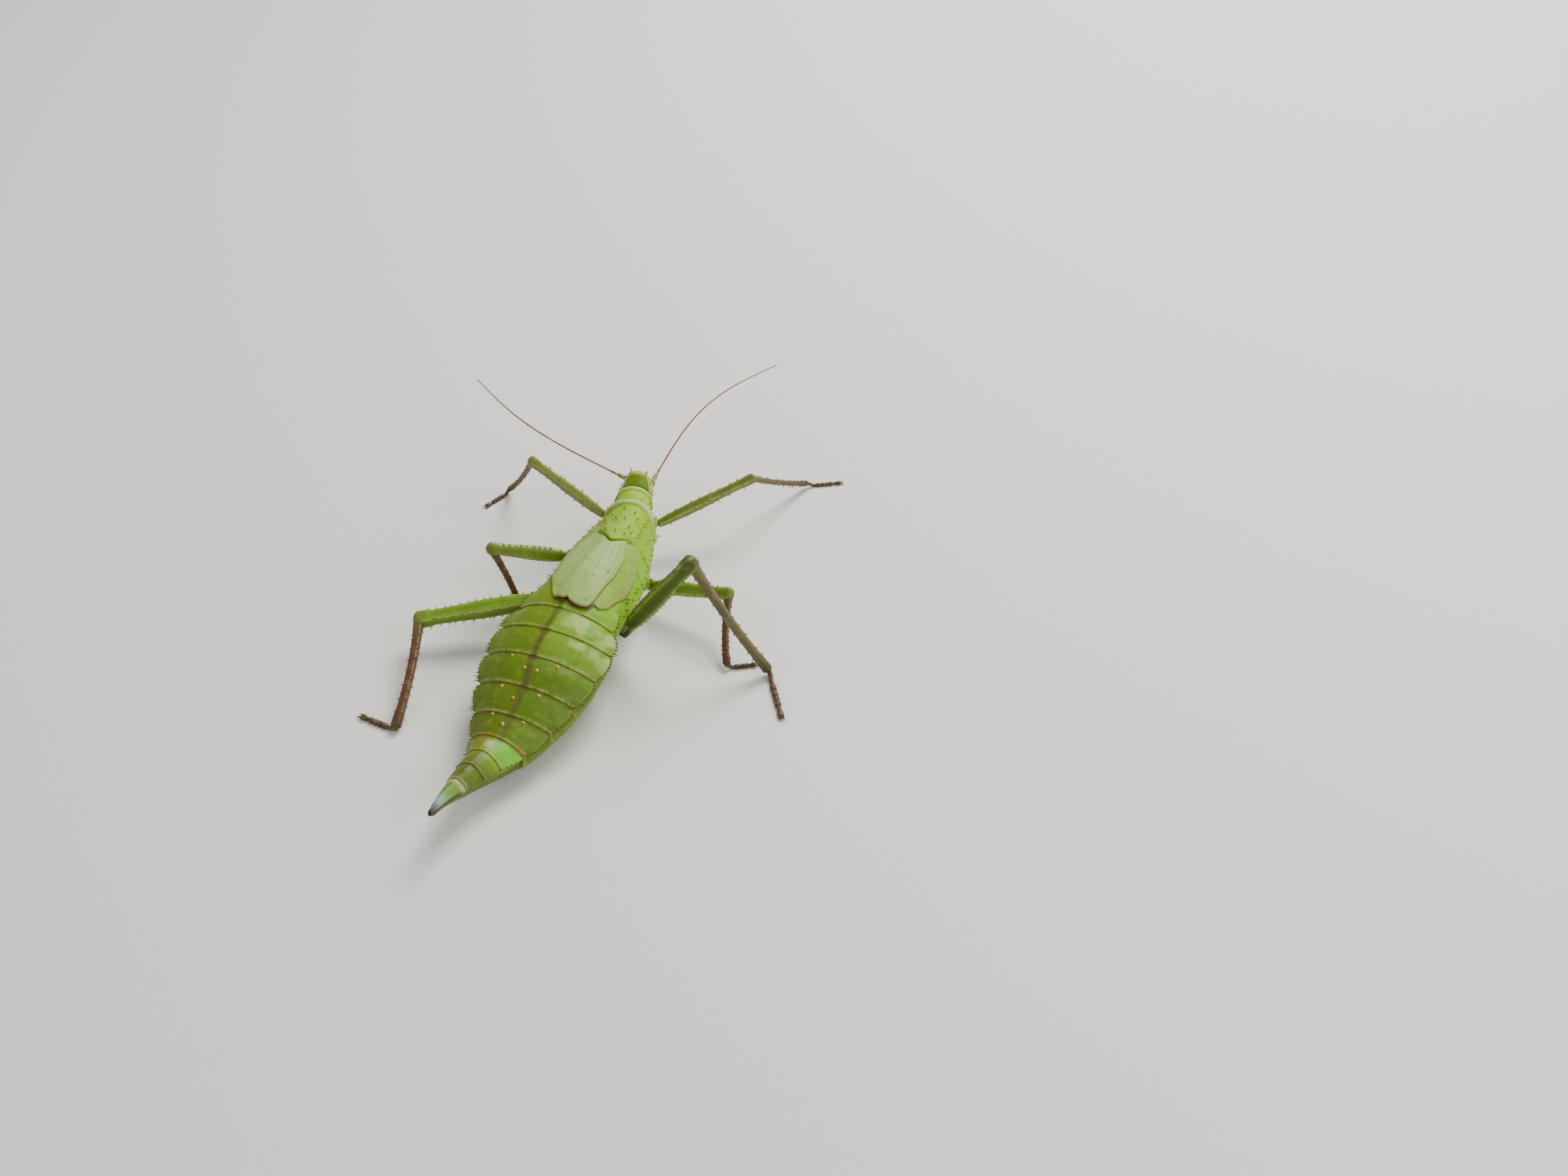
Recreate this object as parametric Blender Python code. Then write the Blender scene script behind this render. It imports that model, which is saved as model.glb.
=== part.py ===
"""Giant thorny stick insect (Heteropteryx dilatata, the jungle nymph), adult female, life size.

A still model in its walking stance. The body is a loft along a bent body line: every place on it
is given as a station (distance back from the front of the head), a lateral distance (plus is the
insect's left) and a height above the line through the body's side margins. The head looks toward
-Y, +Z is up, and feet and belly rest on small flats at z = 0. Neighbouring pieces keep GAP apart.
"""
import math
import random

import bmesh
import bpy
import numpy as np
from mathutils import Matrix, Vector

MM = 0.001
GAP = 0.3 * MM

# Driving dimensions of the body line
BODY_LENGTH = 158 * MM
LINE_STEP = 0.25 * MM
REST_STATION = 100 * MM       # the belly lies on the floor near here
REST_HEIGHT = 13.7 * MM       # height of the margin line there
YAW = ((0, -18), (24, -19), (34, -6), (48, -5), (60, 1.5), (80, 1), (95, 0), (112, 0), (135, 7), (146, 5), (158, -8))
ROLL = ((0, 10), (40, 13), (50, 12), (75, 0), (158, 0))     # degrees: the back leans to its right
HEAD_PITCH = -30              # degrees: the face looks down
THORAX_PITCH = -2.7
ABDOMEN_PITCH = 14
TAIL_PITCH = -12.4

# Stations at which one body piece ends and the next begins, in millimetres
HEAD_FRONT, NECK, PRONOTUM_END, MESONOTUM_END, METATHORAX_END = 0.6, 16.0, 28.6, 51.3, 71.0
TERGITE_ENDS = (79.6, 87.5, 97.0, 106.9, 116.2, 124.9, 132.0, 138.0, 144.0)
TAIL_TIP, OPERCULUM_END = 158.0, 156.0

# Body sections, in millimetres: station, half width of the back plate, height of its margin,
# height of the crown, half width of the flank, depth of the flank, depth of the belly
SECTIONS = (
    (16.0, 4.6, 1.0, 3.2, 5.4, 2.5, 5.5),
    (20.0, 4.8, 1.2, 3.0, 6.2, 2.8, 6.0),
    (27.0, 6.0, 1.2, 4.2, 7.8, 3.2, 6.8),
    (33.0, 5.8, 2.6, 5.2, 9.8, 3.6, 7.4),
    (40.0, 5.8, 3.4, 6.0, 11.6, 4.2, 8.2),
    (47.0, 6.6, 3.4, 6.4, 13.0, 4.6, 9.0),
    (56.0, 8.2, 2.6, 6.2, 14.0, 4.8, 9.6),
    (64.0, 10.5, 1.4, 6.0, 14.6, 4.4, 10.0),
    (71.0, 13.2, 0.3, 5.9, 15.0, 3.8, 10.2),
    (79.6, 15.0, 0.0, 6.1, 14.6, 3.6, 10.6),
    (87.5, 17.2, 0.0, 6.5, 16.4, 3.8, 11.2),
    (97.0, 17.2, 0.0, 6.7, 16.4, 4.0, 12.8),
    (106.9, 15.2, 0.0, 6.0, 14.4, 4.0, 14.0),
    (116.2, 12.0, 0.0, 5.0, 11.2, 3.5, 11.7),
    (124.9, 8.6, 0.0, 4.4, 8.0, 2.8, 8.0),
    (132.0, 5.9, 0.0, 4.2, 5.6, 2.0, 5.8),
    (138.0, 4.6, 0.0, 3.5, 4.3, 1.5, 4.6),
    (144.0, 3.2, 0.0, 2.5, 3.0, 1.1, 3.5),
    (150.0, 1.8, 0.0, 1.7, 1.6, 0.6, 2.2),
    (158.0, 0.5, 0.0, 0.7, 0.4, 0.3, 0.9),
)
# The head's own sections, with the same columns: low and narrow at the mouth, a crest at the back
HEAD_SECTIONS = (
    (0.6, 1.8, 0.2, 1.0, 2.0, 0.6, 2.0),
    (2.0, 3.0, 0.4, 2.0, 3.2, 1.0, 4.0),
    (4.0, 4.1, 0.6, 3.0, 4.3, 1.6, 5.4),
    (6.5, 4.7, 0.8, 3.9, 5.2, 2.0, 6.2),
    (9.0, 4.3, 1.4, 4.6, 5.6, 2.4, 6.2),
    (11.3, 3.4, 3.6, 5.5, 5.7, 2.6, 6.0),
    (13.0, 2.8, 5.3, 6.0, 5.6, 2.6, 5.9),
    (14.4, 3.5, 3.2, 4.8, 5.4, 2.6, 5.7),
    (16.0, 4.4, 1.0, 3.0, 5.2, 2.4, 5.4),
)
CROWN_POWER = 2.4             # how flat the back plate is across its middle
TAIL_CUT = 0.22               # the last tergites end at this share of the depth, above the operculum

# Rims and relief of the back
PRONOTUM_FRONT_RIM = (17.3, 1.1, 0.7)     # station, half width along the body, height
PRONOTUM_REAR_RIM = (27.1, 1.3, 1.4)
TERGITE_SWELL = 0.35 * MM
SHIELD_HALF_WIDTH = 5.8 * MM              # raised V at the rear of the mesonotum
SHIELD_APEX, SHIELD_SLOPE = 51.0 * MM, 1.0
SHIELD_POINT = 1.0 * MM                   # rounding of the V's point
SHIELD_HEIGHT = 2.3 * MM

# Fore wings: thickness, clearance over the back, and relief of the veins
WING_THICKNESS = 0.55 * MM
WING_CLEARANCE = 0.5 * MM
WING_STACK = 1.0 * MM                     # the left wing lies this much higher over the right one
VEIN_HEIGHT, VEIN_HALF_WIDTH = 0.3 * MM, 0.35 * MM
WING_VEINS = (-0.8, -0.5, -0.2, 0.1, 0.4, 0.7)

# Legs: knee, ankle and toe on the floor plan (x, y, z in millimetres), then length-wise sizes
LEG_PLACES = {
    "front_right": ((-28.0, -100.5, 19.5), (-38.3, -125.2, 1.7), (-48.5, -130.7, 1.0)),
    "front_left": ((39.7, -77.2, 26.2), (57.2, -88.0, 1.7), (61.0, -78.3, 1.0)),
    "mid_right": ((-39.5, -51.6, 14.0), (-45.3, -34.1, 1.7), (-53.0, -38.4, 1.0)),
    "mid_left": ((34.5, -38.5, 21.5), (21.5, -31.0, 1.7), (30.5, -37.5, 1.0)),
    "hind_right": ((-35.0, -35.7, 38.5), (-58.3, -36.0, 1.7), (-68.1, -20.3, 1.0)),
    "hind_left": ((47.7, -13.6, 9.2), (36.0, 22.5, 1.7), (48.6, 21.0, 1.0)),
}
HIP_STATIONS = {"front": 23.6, "mid": 47.0, "hind": 68.5}
HIP_OUT = {"front": 1.6, "mid": 0.8, "hind": 0.2}      # beyond the flank
HIP_DROP = {"front": 2.2, "mid": 3.8, "hind": 4.0}     # below the flank
COXA_RADIUS = {"front": 2.2, "mid": 2.6, "hind": 3.0}
FEMUR_RADIUS = {"front": 1.8, "mid": 2.1, "hind": 2.6}
TIBIA_RADIUS = {"front": 1.1, "mid": 1.25, "hind": 1.5}
TARSUS_RADIUS = {"front": 0.75, "mid": 0.8, "hind": 0.9}

# Feelers, eyes and mouthparts
ANTENNA_LENGTH = 74 * MM
ANTENNA_ROOT = (3.6, 3.7, 0.2)            # station, lateral, height
ANTENNA_START = {1: (0.92, 0.06, 0.36), -1: (-0.08, -0.96, 0.28)}
ANTENNA_END = {1: (0.80, -0.58, -0.05), -1: (-0.42, -0.90, -0.08)}
EYE_PLACE, EYE_RADIUS = (6.0, 4.75, 1.3), 1.45 * MM

COLOURS = {
    "back": (0.16, 0.30, 0.03), "thorax": (0.26, 0.48, 0.06), "head": (0.15, 0.28, 0.03),
    "wing": (0.42, 0.55, 0.27), "femur": (0.15, 0.25, 0.04), "shin": (0.16, 0.10, 0.045),
    "foot": (0.10, 0.06, 0.035), "coxa": (0.36, 0.46, 0.20), "eye": (0.10, 0.06, 0.02),
    "feeler": (0.22, 0.14, 0.09), "tail": (0.19, 0.26, 0.06),
}


def millimetres(*values):
    return np.array(values, float) * MM


def ease(value, start, end):
    """A smooth step from 0 at start to 1 at end."""
    share = np.clip((value - start) / (end - start), 0, 1)
    return share * share * (3 - 2 * share)


def smooth_through(value, known, heights):
    """A cubic through the known points that doesn't overshoot between them."""
    known, heights = np.asarray(known, float), np.asarray(heights, float)
    rise = np.diff(heights) / np.diff(known)
    product = rise[:-1] * rise[1:]
    inner = np.where(product > 0, 2 * product / (rise[:-1] + rise[1:] + 1e-12), 0)
    slope = np.concatenate([rise[:1], inner, rise[-1:]])
    i = np.clip(np.searchsorted(known, value) - 1, 0, len(known) - 2)
    width = known[i + 1] - known[i]
    t = np.clip((value - known[i]) / width, 0, 1)
    start = (2 * t**3 - 3 * t**2 + 1) * heights[i] + (t**3 - 2 * t**2 + t) * width * slope[i]
    end = (3 * t**2 - 2 * t**3) * heights[i + 1] + (t**3 - t**2) * width * slope[i + 1]
    return start + end


def body_line():
    """Stations along the body, with the place and the back, left and up directions at each."""
    station = np.arange(0, BODY_LENGTH + 2 * LINE_STEP, LINE_STEP)
    yaw, roll = [np.radians(smooth_through(station, np.transpose(t)[0] * MM, np.transpose(t)[1]))
                 for t in (YAW, ROLL)]
    pitch = THORAX_PITCH + (HEAD_PITCH - THORAX_PITCH) * (1 - ease(station, 9 * MM, 15.5 * MM))
    pitch = pitch + (ABDOMEN_PITCH - THORAX_PITCH) * ease(station, 55 * MM, 90 * MM)
    pitch = np.radians(pitch + (TAIL_PITCH - ABDOMEN_PITCH) * ease(station, 115 * MM, 135 * MM))
    back = np.stack([np.sin(yaw) * np.cos(pitch), np.cos(yaw) * np.cos(pitch), -np.sin(pitch)], 1)
    level = np.stack([np.cos(yaw), -np.sin(yaw), 0 * yaw], 1)
    left = level * np.cos(roll)[:, None] + np.cross(level, back) * np.sin(roll)[:, None]
    place = np.zeros_like(back)
    place[1:] = np.cumsum((back[1:] + back[:-1]) / 2 * LINE_STEP, axis=0)
    rest = np.searchsorted(station, REST_STATION)
    place += (0, 0, REST_HEIGHT) - place[rest]
    return station, place, back, left, np.cross(left, back)


BODY_LINE = body_line()


def on_body(station, lateral, height):
    """World point of a place given in body terms. Works on whole arrays, in metres."""
    known, place, _, left, up = BODY_LINE
    station, lateral, height = np.broadcast_arrays(station, lateral, height)
    found = [np.stack([np.interp(station, known, a[:, k]) for k in range(3)], -1) for a in (place, left, up)]
    return found[0] + found[1] * lateral[..., None] + found[2] * height[..., None]


def section_sizes(station, table):
    """The six section sizes at each station, in metres."""
    columns = np.transpose(table) * MM
    return [smooth_through(station, columns[0], column) for column in columns[1:]]


def bump(station, rim):
    """A rounded rim round the body."""
    centre, half_width, height = millimetres(*rim)
    return height * np.exp(-((station - centre) / half_width) ** 2)


def relief(station):
    """How much the back stands proud of its sections: the pronotum's rims, and each tergite."""
    raised = bump(station, PRONOTUM_FRONT_RIM) + bump(station, PRONOTUM_REAR_RIM)
    ends = millimetres(METATHORAX_END, *TERGITE_ENDS)
    i = np.clip(np.searchsorted(ends, station, side="right") - 1, 0, len(ends) - 2)
    share = np.clip((station - ends[i]) / (ends[i + 1] - ends[i]), 0, 1)
    return raised + TERGITE_SWELL * np.sin(math.pi * share) ** 0.5


def half_section(station, around, table):
    """Lateral distance and height of the skin: around runs from 0 at the crown to 1 at the keel."""
    plate, margin, crown, flank, flank_depth, belly = section_sizes(station, table)
    raised = relief(station) if table is SECTIONS else 0 * station
    across = np.sin(np.clip(around / 0.45, 0, 1) * math.pi / 2)
    top = margin + (crown - margin) * (1 - across**CROWN_POWER) + raised
    down = np.clip((around - 0.45) / 0.2, 0, 1)
    under = np.clip((around - 0.65) / 0.35, 0, 1) * math.pi / 2
    lateral = np.where(around <= 0.45, (plate + 0.5 * raised) * across,
                       plate + 0.5 * raised + (flank - plate - 0.5 * raised) * down)
    lateral = np.where(around > 0.65, flank * np.cos(under) ** 0.8, lateral)
    height = np.where(around <= 0.45, top, margin + raised - (margin + raised + flank_depth) * down)
    low = -flank_depth - (belly - flank_depth) * np.sin(under) ** 0.9
    return lateral, np.where(around > 0.65, low, height)


def skin_point(station, around, side, table=None):
    """World point on the skin, held above the floor so that the belly has its flat."""
    station = np.asarray(station, float)
    lateral, height = half_section(station, np.asarray(around, float), table or SECTIONS)
    point = on_body(station, side * lateral, height)
    point[..., 2] = np.maximum(point[..., 2], 0)
    return point


def roof(station, lateral):
    """Height of the back over the margin line, out to the flank."""
    plate, margin, crown, flank, flank_depth, _ = section_sizes(station, SECTIONS)
    away = np.abs(lateral)
    top = margin + (crown - margin) * (1 - np.clip(away / plate, 0, 1) ** CROWN_POWER)
    slope = margin - (margin + flank_depth) * (away - plate) / np.maximum(flank - plate, MM)
    return np.where(away <= plate, top, slope)


# Meshes

def mesh_object(name, mesh):
    made = bpy.data.objects.new(name, mesh)
    bpy.context.scene.collection.objects.link(made)
    return made


def finish_mesh(name, shape):
    """A Blender object from a bmesh, with outward faces, in triangles."""
    bmesh.ops.recalc_face_normals(shape, faces=shape.faces)
    bmesh.ops.triangulate(shape, faces=shape.faces)
    mesh = bpy.data.meshes.new(name)
    shape.to_mesh(mesh)
    shape.free()
    return mesh_object(name, mesh)


def loft(name, rings):
    """A closed skin over rings of equally many points, with both ends capped."""
    shape = bmesh.new()
    rows = [[shape.verts.new(point) for point in ring] for ring in rings]
    for row, following in zip(rows, rows[1:]):
        for i in range(len(row)):
            j = (i + 1) % len(row)
            shape.faces.new((row[i], row[j], following[j], following[i]))
    shape.faces.new(rows[0])
    shape.faces.new(rows[-1])
    return finish_mesh(name, shape)


def slab(name, upper, lower):
    """A thin closed sheet between two grids of points, split alike on both faces."""
    shape = bmesh.new()
    over, under = [[[shape.verts.new(p) for p in row] for row in grid] for grid in (upper, lower)]
    last_row, last_column = len(over) - 1, len(over[0]) - 1
    for i in range(last_row):
        for j in range(last_column):
            for grid in (over, under):
                shape.faces.new((grid[i][j], grid[i + 1][j], grid[i + 1][j + 1]))
                shape.faces.new((grid[i][j], grid[i + 1][j + 1], grid[i][j + 1]))
    rim = [(0, j) for j in range(last_column)] + [(i, last_column) for i in range(last_row)]
    rim += [(last_row, j) for j in range(last_column, 0, -1)] + [(i, 0) for i in range(last_row, 0, -1)]
    for (i, j), (k, m) in zip(rim, rim[1:] + rim[:1]):
        shape.faces.new((over[i][j], over[k][m], under[k][m], under[i][j]))
    return finish_mesh(name, shape)


def tube(name, points, radii, sides=2):
    """A round bar along the points, as a mesh."""
    curve = bpy.data.curves.new(name, "CURVE")
    curve.dimensions = "3D"
    curve.bevel_depth = 1
    curve.bevel_resolution = sides
    curve.use_fill_caps = True
    spline = curve.splines.new("POLY")
    spline.points.add(len(points) - 1)
    for knot, point, radius in zip(spline.points, points, radii):
        knot.co = (*point, 1)
        knot.radius = radius
    guide = mesh_object(name + "_guide", curve)
    mesh = bpy.data.meshes.new_from_object(guide.evaluated_get(bpy.context.evaluated_depsgraph_get()))
    bpy.data.objects.remove(guide)
    shape = bmesh.new()
    shape.from_mesh(mesh)
    bmesh.ops.remove_doubles(shape, verts=shape.verts, dist=0.01 * MM)
    return finish_mesh(name, shape)


def ball(name, centre, radius, scale=(1, 1, 1), turn=None, round_by=8):
    shape = bmesh.new()
    matrix = Matrix.Translation(centre) @ (turn or Matrix()).to_4x4() @ Matrix.Diagonal((*scale, 1))
    bmesh.ops.create_uvsphere(shape, u_segments=round_by, v_segments=round_by * 3 // 4, radius=radius, matrix=matrix)
    return finish_mesh(name, shape)


def thorn(place, direction, length, width, sides=3):
    """A tapering spine: its root is sunk into what it grows from."""
    direction = Vector(direction).normalized()
    sunk = max(0.5 * MM, 0.3 * length)
    shape = bmesh.new()
    turn = direction.to_track_quat("Z", "Y").to_matrix().to_4x4()
    middle = Vector(place) + direction * (length - sunk) / 2
    bmesh.ops.create_cone(shape, cap_ends=True, segments=sides, radius1=width / 2, radius2=0,
                          depth=length + sunk, matrix=Matrix.Translation(middle) @ turn)
    return finish_mesh("thorn", shape)


# Joining and fitting

def apply_modifiers(part):
    mesh = bpy.data.meshes.new_from_object(part.evaluated_get(bpy.context.evaluated_depsgraph_get()))
    part.modifiers.clear()
    part.data = mesh


def box_size(points):
    corners = np.array([point.co for point in points])
    return float(np.linalg.norm(corners.max(axis=0) - corners.min(axis=0)))


def keep_largest(part):
    """Drops every closed surface of the mesh but the one with the largest box."""
    shape = bmesh.new()
    shape.from_mesh(part.data)
    left, shells = set(shape.verts), []
    while left:
        shell, edge = set(), {left.pop()}
        while edge:
            shell |= edge
            edge = {e.other_vert(v) for v in edge for e in v.link_edges} - shell
        left -= shell
        shells.append(shell)
    for shell in sorted(shells, key=box_size)[:-1]:
        bmesh.ops.delete(shape, geom=list(shell), context="VERTS")
    shape.to_mesh(part.data)
    shape.free()


def combine(part, others, operation):
    """One Boolean of the part with a collection of closed meshes, which it uses up."""
    if not others:
        return part
    bag = bpy.data.collections.new("pieces")
    for other in others:
        bag.objects.link(other)
    modifier = part.modifiers.new(operation.title(), "BOOLEAN")
    modifier.operand_type = "COLLECTION"
    modifier.collection = bag
    modifier.operation = operation
    apply_modifiers(part)
    for other in others:
        bpy.data.objects.remove(other)
    bpy.data.collections.remove(bag)
    keep_largest(part)
    return part


def grown(part, by=GAP):
    """A copy of the part whose skin stands off by the gap."""
    copy = mesh_object(part.name + "_grown", part.data.copy())
    shape = bmesh.new()
    shape.from_mesh(copy.data)
    shape.normal_update()
    moved = [v.co + v.normal * by * min(v.calc_shell_factor(), 1.8) for v in shape.verts]
    for vertex, place in zip(shape.verts, moved):
        vertex.co = place
    shape.to_mesh(copy.data)
    shape.free()
    return copy


def clear_of(part, *neighbours):
    """Cuts the part back so that it meets its neighbours with the gap."""
    return combine(part, [grown(n) for n in neighbours], "DIFFERENCE")


def flatten_feet(part):
    """Nothing reaches below the floor: what would is pressed to small flats."""
    for vertex in part.data.vertices:
        vertex.co.z = max(vertex.co.z, 0)


# Body

AROUND = np.array([0, 0.09, 0.18, 0.27, 0.36, 0.45, 0.55, 0.65, 0.74, 0.83, 0.92, 1.0])


def body_ring(station, table=None):
    left = skin_point(np.full(len(AROUND), station), AROUND, 1, table)
    right = skin_point(np.full(len(AROUND) - 2, station), AROUND[-2:0:-1], -1, table)
    return np.concatenate([left, right])


def body_length(name, start, end, stations, table=None):
    """One length of the body between two stations in millimetres."""
    half = GAP / 2
    inner = [start * MM + half, *(s * MM for s in stations), end * MM - half]
    return loft(name, [body_ring(s, table) for s in inner])


def tail_ring(station, upper):
    """A ring of the last segments: the part above the operculum, or the operculum itself."""
    _, _, _, flank, _, belly = (float(size) for size in section_sizes(np.array(station), SECTIONS))
    cut = -TAIL_CUT * belly
    if upper:
        around = AROUND[:7]
        left = skin_point(np.full(len(around), station), around, 1)
        right = skin_point(np.full(len(around) - 1, station), around[:0:-1], -1)
        sole = on_body(station, np.array([0.8, 0, -0.8]) * flank, cut)
        return np.concatenate([left, sole, right])
    angle = np.linspace(0, math.pi, 9)
    lateral, height = 0.9 * flank * np.cos(angle), cut - GAP + (cut + belly) * -np.sin(angle) ** 0.85
    return np.concatenate([on_body(station, lateral, height), on_body(station, -0.45 * flank, cut - GAP)[None],
                           on_body(station, 0.45 * flank, cut - GAP)[None]])


def shield_edge(lateral):
    """Station of the V-shaped rear edge of the mesonotum's raised shield."""
    away = np.sqrt(lateral**2 + SHIELD_POINT**2) - SHIELD_POINT
    past = np.maximum(away - SHIELD_HALF_WIDTH, 0)
    return SHIELD_APEX - SHIELD_SLOPE * np.minimum(away, SHIELD_HALF_WIDTH) + 0.5 * past


def shield():
    """The raised V at the rear of the mesonotum, sunk into the back."""
    lateral = np.linspace(-SHIELD_HALF_WIDTH, SHIELD_HALF_WIDTH, 9)
    share = np.array([0, 0.35, 0.7, 0.92, 1])[:, None]
    edge = shield_edge(lateral)[None, :]
    station = edge - 9 * MM * (1 - share)
    lateral = np.broadcast_to(lateral, station.shape)
    raised = SHIELD_HEIGHT * ease(share, -0.1, 0.9) * (1 - 0.35 * (lateral / SHIELD_HALF_WIDTH) ** 2)
    height = roof(station, lateral)
    return slab("shield", on_body(station, lateral, height + raised), on_body(station, lateral, height - 1.5 * MM))


def outward(station, lateral, height_at=roof):
    """Direction that stands straight off the back at a place on it."""
    small = 0.2 * MM
    here = on_body(station, lateral, height_at(station, lateral))
    back = on_body(station + small, lateral, height_at(station + small, lateral)) - here
    left = on_body(station, lateral + small, height_at(station, lateral + small)) - here
    normal = np.cross(left, back)
    return here, normal / np.linalg.norm(normal)


def back_thorns(places, length, width, lean=0.25, both_sides=True):
    """Thorns on the back, each place a station and a lateral distance in millimetres."""
    made = []
    for station, lateral in places:
        for side in ((1, -1) if both_sides and lateral else (1,)):
            point, normal = outward(np.array(station * MM), np.array(side * lateral * MM))
            grow = length * DRAW.uniform(0.85, 1.15) * MM
            made.append(thorn(point, normal + (0, lean, 0), grow, width * MM))
    return made


def edge_thorns(start, end, count, around, length, width):
    """A row of thorns along both sides, at one height round the section."""
    made = []
    for side in (1, -1):
        for i in range(count):
            station = (start + (end - start) * (i + 0.5 + DRAW.uniform(-0.15, 0.15)) / count) * MM
            point = skin_point(station, around, side)
            inner = on_body(station, 0, point_height(station, around) * 0.4)
            grow = length * DRAW.uniform(0.75, 1.25) * MM
            made.append(thorn(point, Vector(point - inner).normalized() + Vector((0, 0.35, 0)), grow, width * MM))
    return made


def point_height(station, around):
    return float(half_section(np.asarray(station, float), np.asarray(around, float), SECTIONS)[1])


def build_body():
    """Thorax and abdomen, as lengths that meet at their end faces."""
    parts = {}
    parts["prothorax"] = body_length("prothorax", NECK, PRONOTUM_END, (17.3, 18.6, 20.5, 23.5, 25.8, 27.1, 28.2))
    parts["mesothorax"] = body_length("mesothorax", PRONOTUM_END, MESONOTUM_END, (31, 35, 40, 45, 49))
    parts["metathorax"] = body_length("metathorax", MESONOTUM_END, METATHORAX_END, (55, 59, 63, 67))
    start = METATHORAX_END
    for number, end in enumerate(TERGITE_ENDS, 2):
        name = f"abdomen_{number}"
        inner = [start + (end - start) * share for share in (0.08, 0.35, 0.68, 0.93)]
        if number < 8:
            parts[name] = body_length(name, start, end, inner)
        else:
            stations = [start * MM + GAP / 2, *millimetres(*inner), end * MM - GAP / 2]
            parts[name] = loft(name, [tail_ring(s, True) for s in stations])
        start = end
    inner = (146, 149, 152, 155)
    stations = [start * MM + GAP / 2, *millimetres(*inner), TAIL_TIP * MM]
    parts["epiproct"] = loft("epiproct", [tail_ring(s, True) for s in stations])
    low = [TERGITE_ENDS[5] * MM + GAP / 2, *millimetres(128, 132, 136, 140, 144, 148, 152, OPERCULUM_END)]
    parts["operculum"] = loft("operculum", [tail_ring(s, False) for s in low])
    return parts


def thorn_body(parts):
    """Thorns and relief of the thorax and abdomen, fused to their nodes."""
    combine(parts["prothorax"], back_thorns(((17.4, 4.2), (24.6, 1.9), (26.2, 5.4)), 1.7, 0.9)
            + edge_thorns(18.5, 26, 2, 0.6, 1.3, 0.9), "UNION")
    notum = back_thorns(((34.5, 3.2), (38.6, 2.4), (46.3, 0)), 2.2, 0.95)
    margin = back_thorns(((31.5, 5.5), (34.3, 5.4), (37.2, 5.2), (40.2, 5.2), (42.6, 5.2)), 1.9, 0.9)
    combine(parts["mesothorax"], [shield()] + notum + margin
            + edge_thorns(29, 43, 5, 0.64, 1.5, 0.9), "UNION")
    combine(parts["metathorax"], edge_thorns(52, 62, 4, 0.62, 1.5, 0.9)
            + edge_thorns(62.5, 70.5, 3, 0.58, 1.6, 0.9), "UNION")
    tubercles = {5: ((98.4, 7.2), (101.4, 1.9)), 6: ((108.2, 5.9), (111.2, 1.2)), 7: ((117, 4.9), (119.8, 0.9))}
    start = METATHORAX_END
    for number, end in enumerate(TERGITE_ENDS, 2):
        count = 5 if number < 8 else 2
        length = 1.5 if number < 8 else 0.9
        row = edge_thorns(start + 0.9, end - 0.7, count, 0.45, length, 0.9)
        row += back_thorns(tubercles.get(number, ()), 0.9, 1.3, lean=0.1)
        combine(parts[f"abdomen_{number}"], row, "UNION")
        start = end


# Head

def build_head():
    """Head with its crest, the jaws under the face, palps, eyes and feelers."""
    parts = {}
    inner = (2, 4, 6.5, 9, 11.3, 13, 14.4)
    head = body_length("head", HEAD_FRONT, NECK, inner, HEAD_SECTIONS)
    parts["jaws"] = build_jaws(head)
    for side, word in ((1, "left"), (-1, "right")):
        parts[f"eye_{word}"] = build_eye(f"eye_{word}", side, head)
        parts[f"antenna_{word}"] = build_antenna(f"antenna_{word}", side, head)
        parts[f"palp_{word}"] = build_palp(f"palp_{word}", side, head, parts["jaws"])
    parts["head"] = combine(head, head_thorns(), "UNION")
    return parts


def head_place(station, lateral, height):
    return Vector(on_body(station * MM, lateral * MM, height * MM))


def head_turn():
    """Rotation from world axes to the head's left, back and up."""
    _, _, back, left, up = (column[16] for column in BODY_LINE)
    return Matrix(np.stack([left, back, up], 1).tolist())


def head_thorns():
    places = (((13.0, 2.3, 5.7), (0.5, 0.25, 1.0), 2.4, 1.0), ((10.6, 2.9, 4.3), (0.6, -0.2, 1.0), 1.4, 0.9),
              ((12.9, 4.4, 3.0), (1.0, 0.2, 0.5), 1.8, 0.9), ((14.6, 5.3, -0.6), (1.0, 0.3, 0.0), 1.4, 0.9),
              ((9.0, 5.3, -1.0), (1.0, 0.1, 0.1), 1.2, 0.9), ((11.6, 1.0, 5.4), (0.2, -0.3, 1.0), 1.0, 0.9))
    turn = head_turn()
    made = []
    for place, grow, length, width in places:
        for side in (1, -1):
            point = head_place(place[0], side * place[1], place[2])
            made.append(thorn(point, turn @ Vector((side * grow[0], grow[1], grow[2])), length * MM, width * MM))
    return made


def build_jaws(head):
    """Upper lip over a pair of jaws, with the lip's edge as the line of the mouth."""
    turn = head_turn()
    lip = ball("jaws", head_place(0.3, 0, -0.6), MM, (1.9, 0.8, 1.6), turn)
    jaws = [ball("jaw", head_place(0.9, side * 1.5, -2.6), MM, (1.5, 1.0, 1.9), turn) for side in (1, -1)]
    chin = ball("chin", head_place(2.4, 0, -4.6), MM, (1.8, 1.6, 1.0), turn)
    return clear_of(combine(lip, jaws + [chin], "UNION"), head)


def build_eye(name, side, head):
    station, lateral, height = EYE_PLACE
    eye = ball(name, head_place(station, side * lateral, height), EYE_RADIUS, (0.75, 1, 1), head_turn(), 10)
    return clear_of(eye, head)


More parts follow.
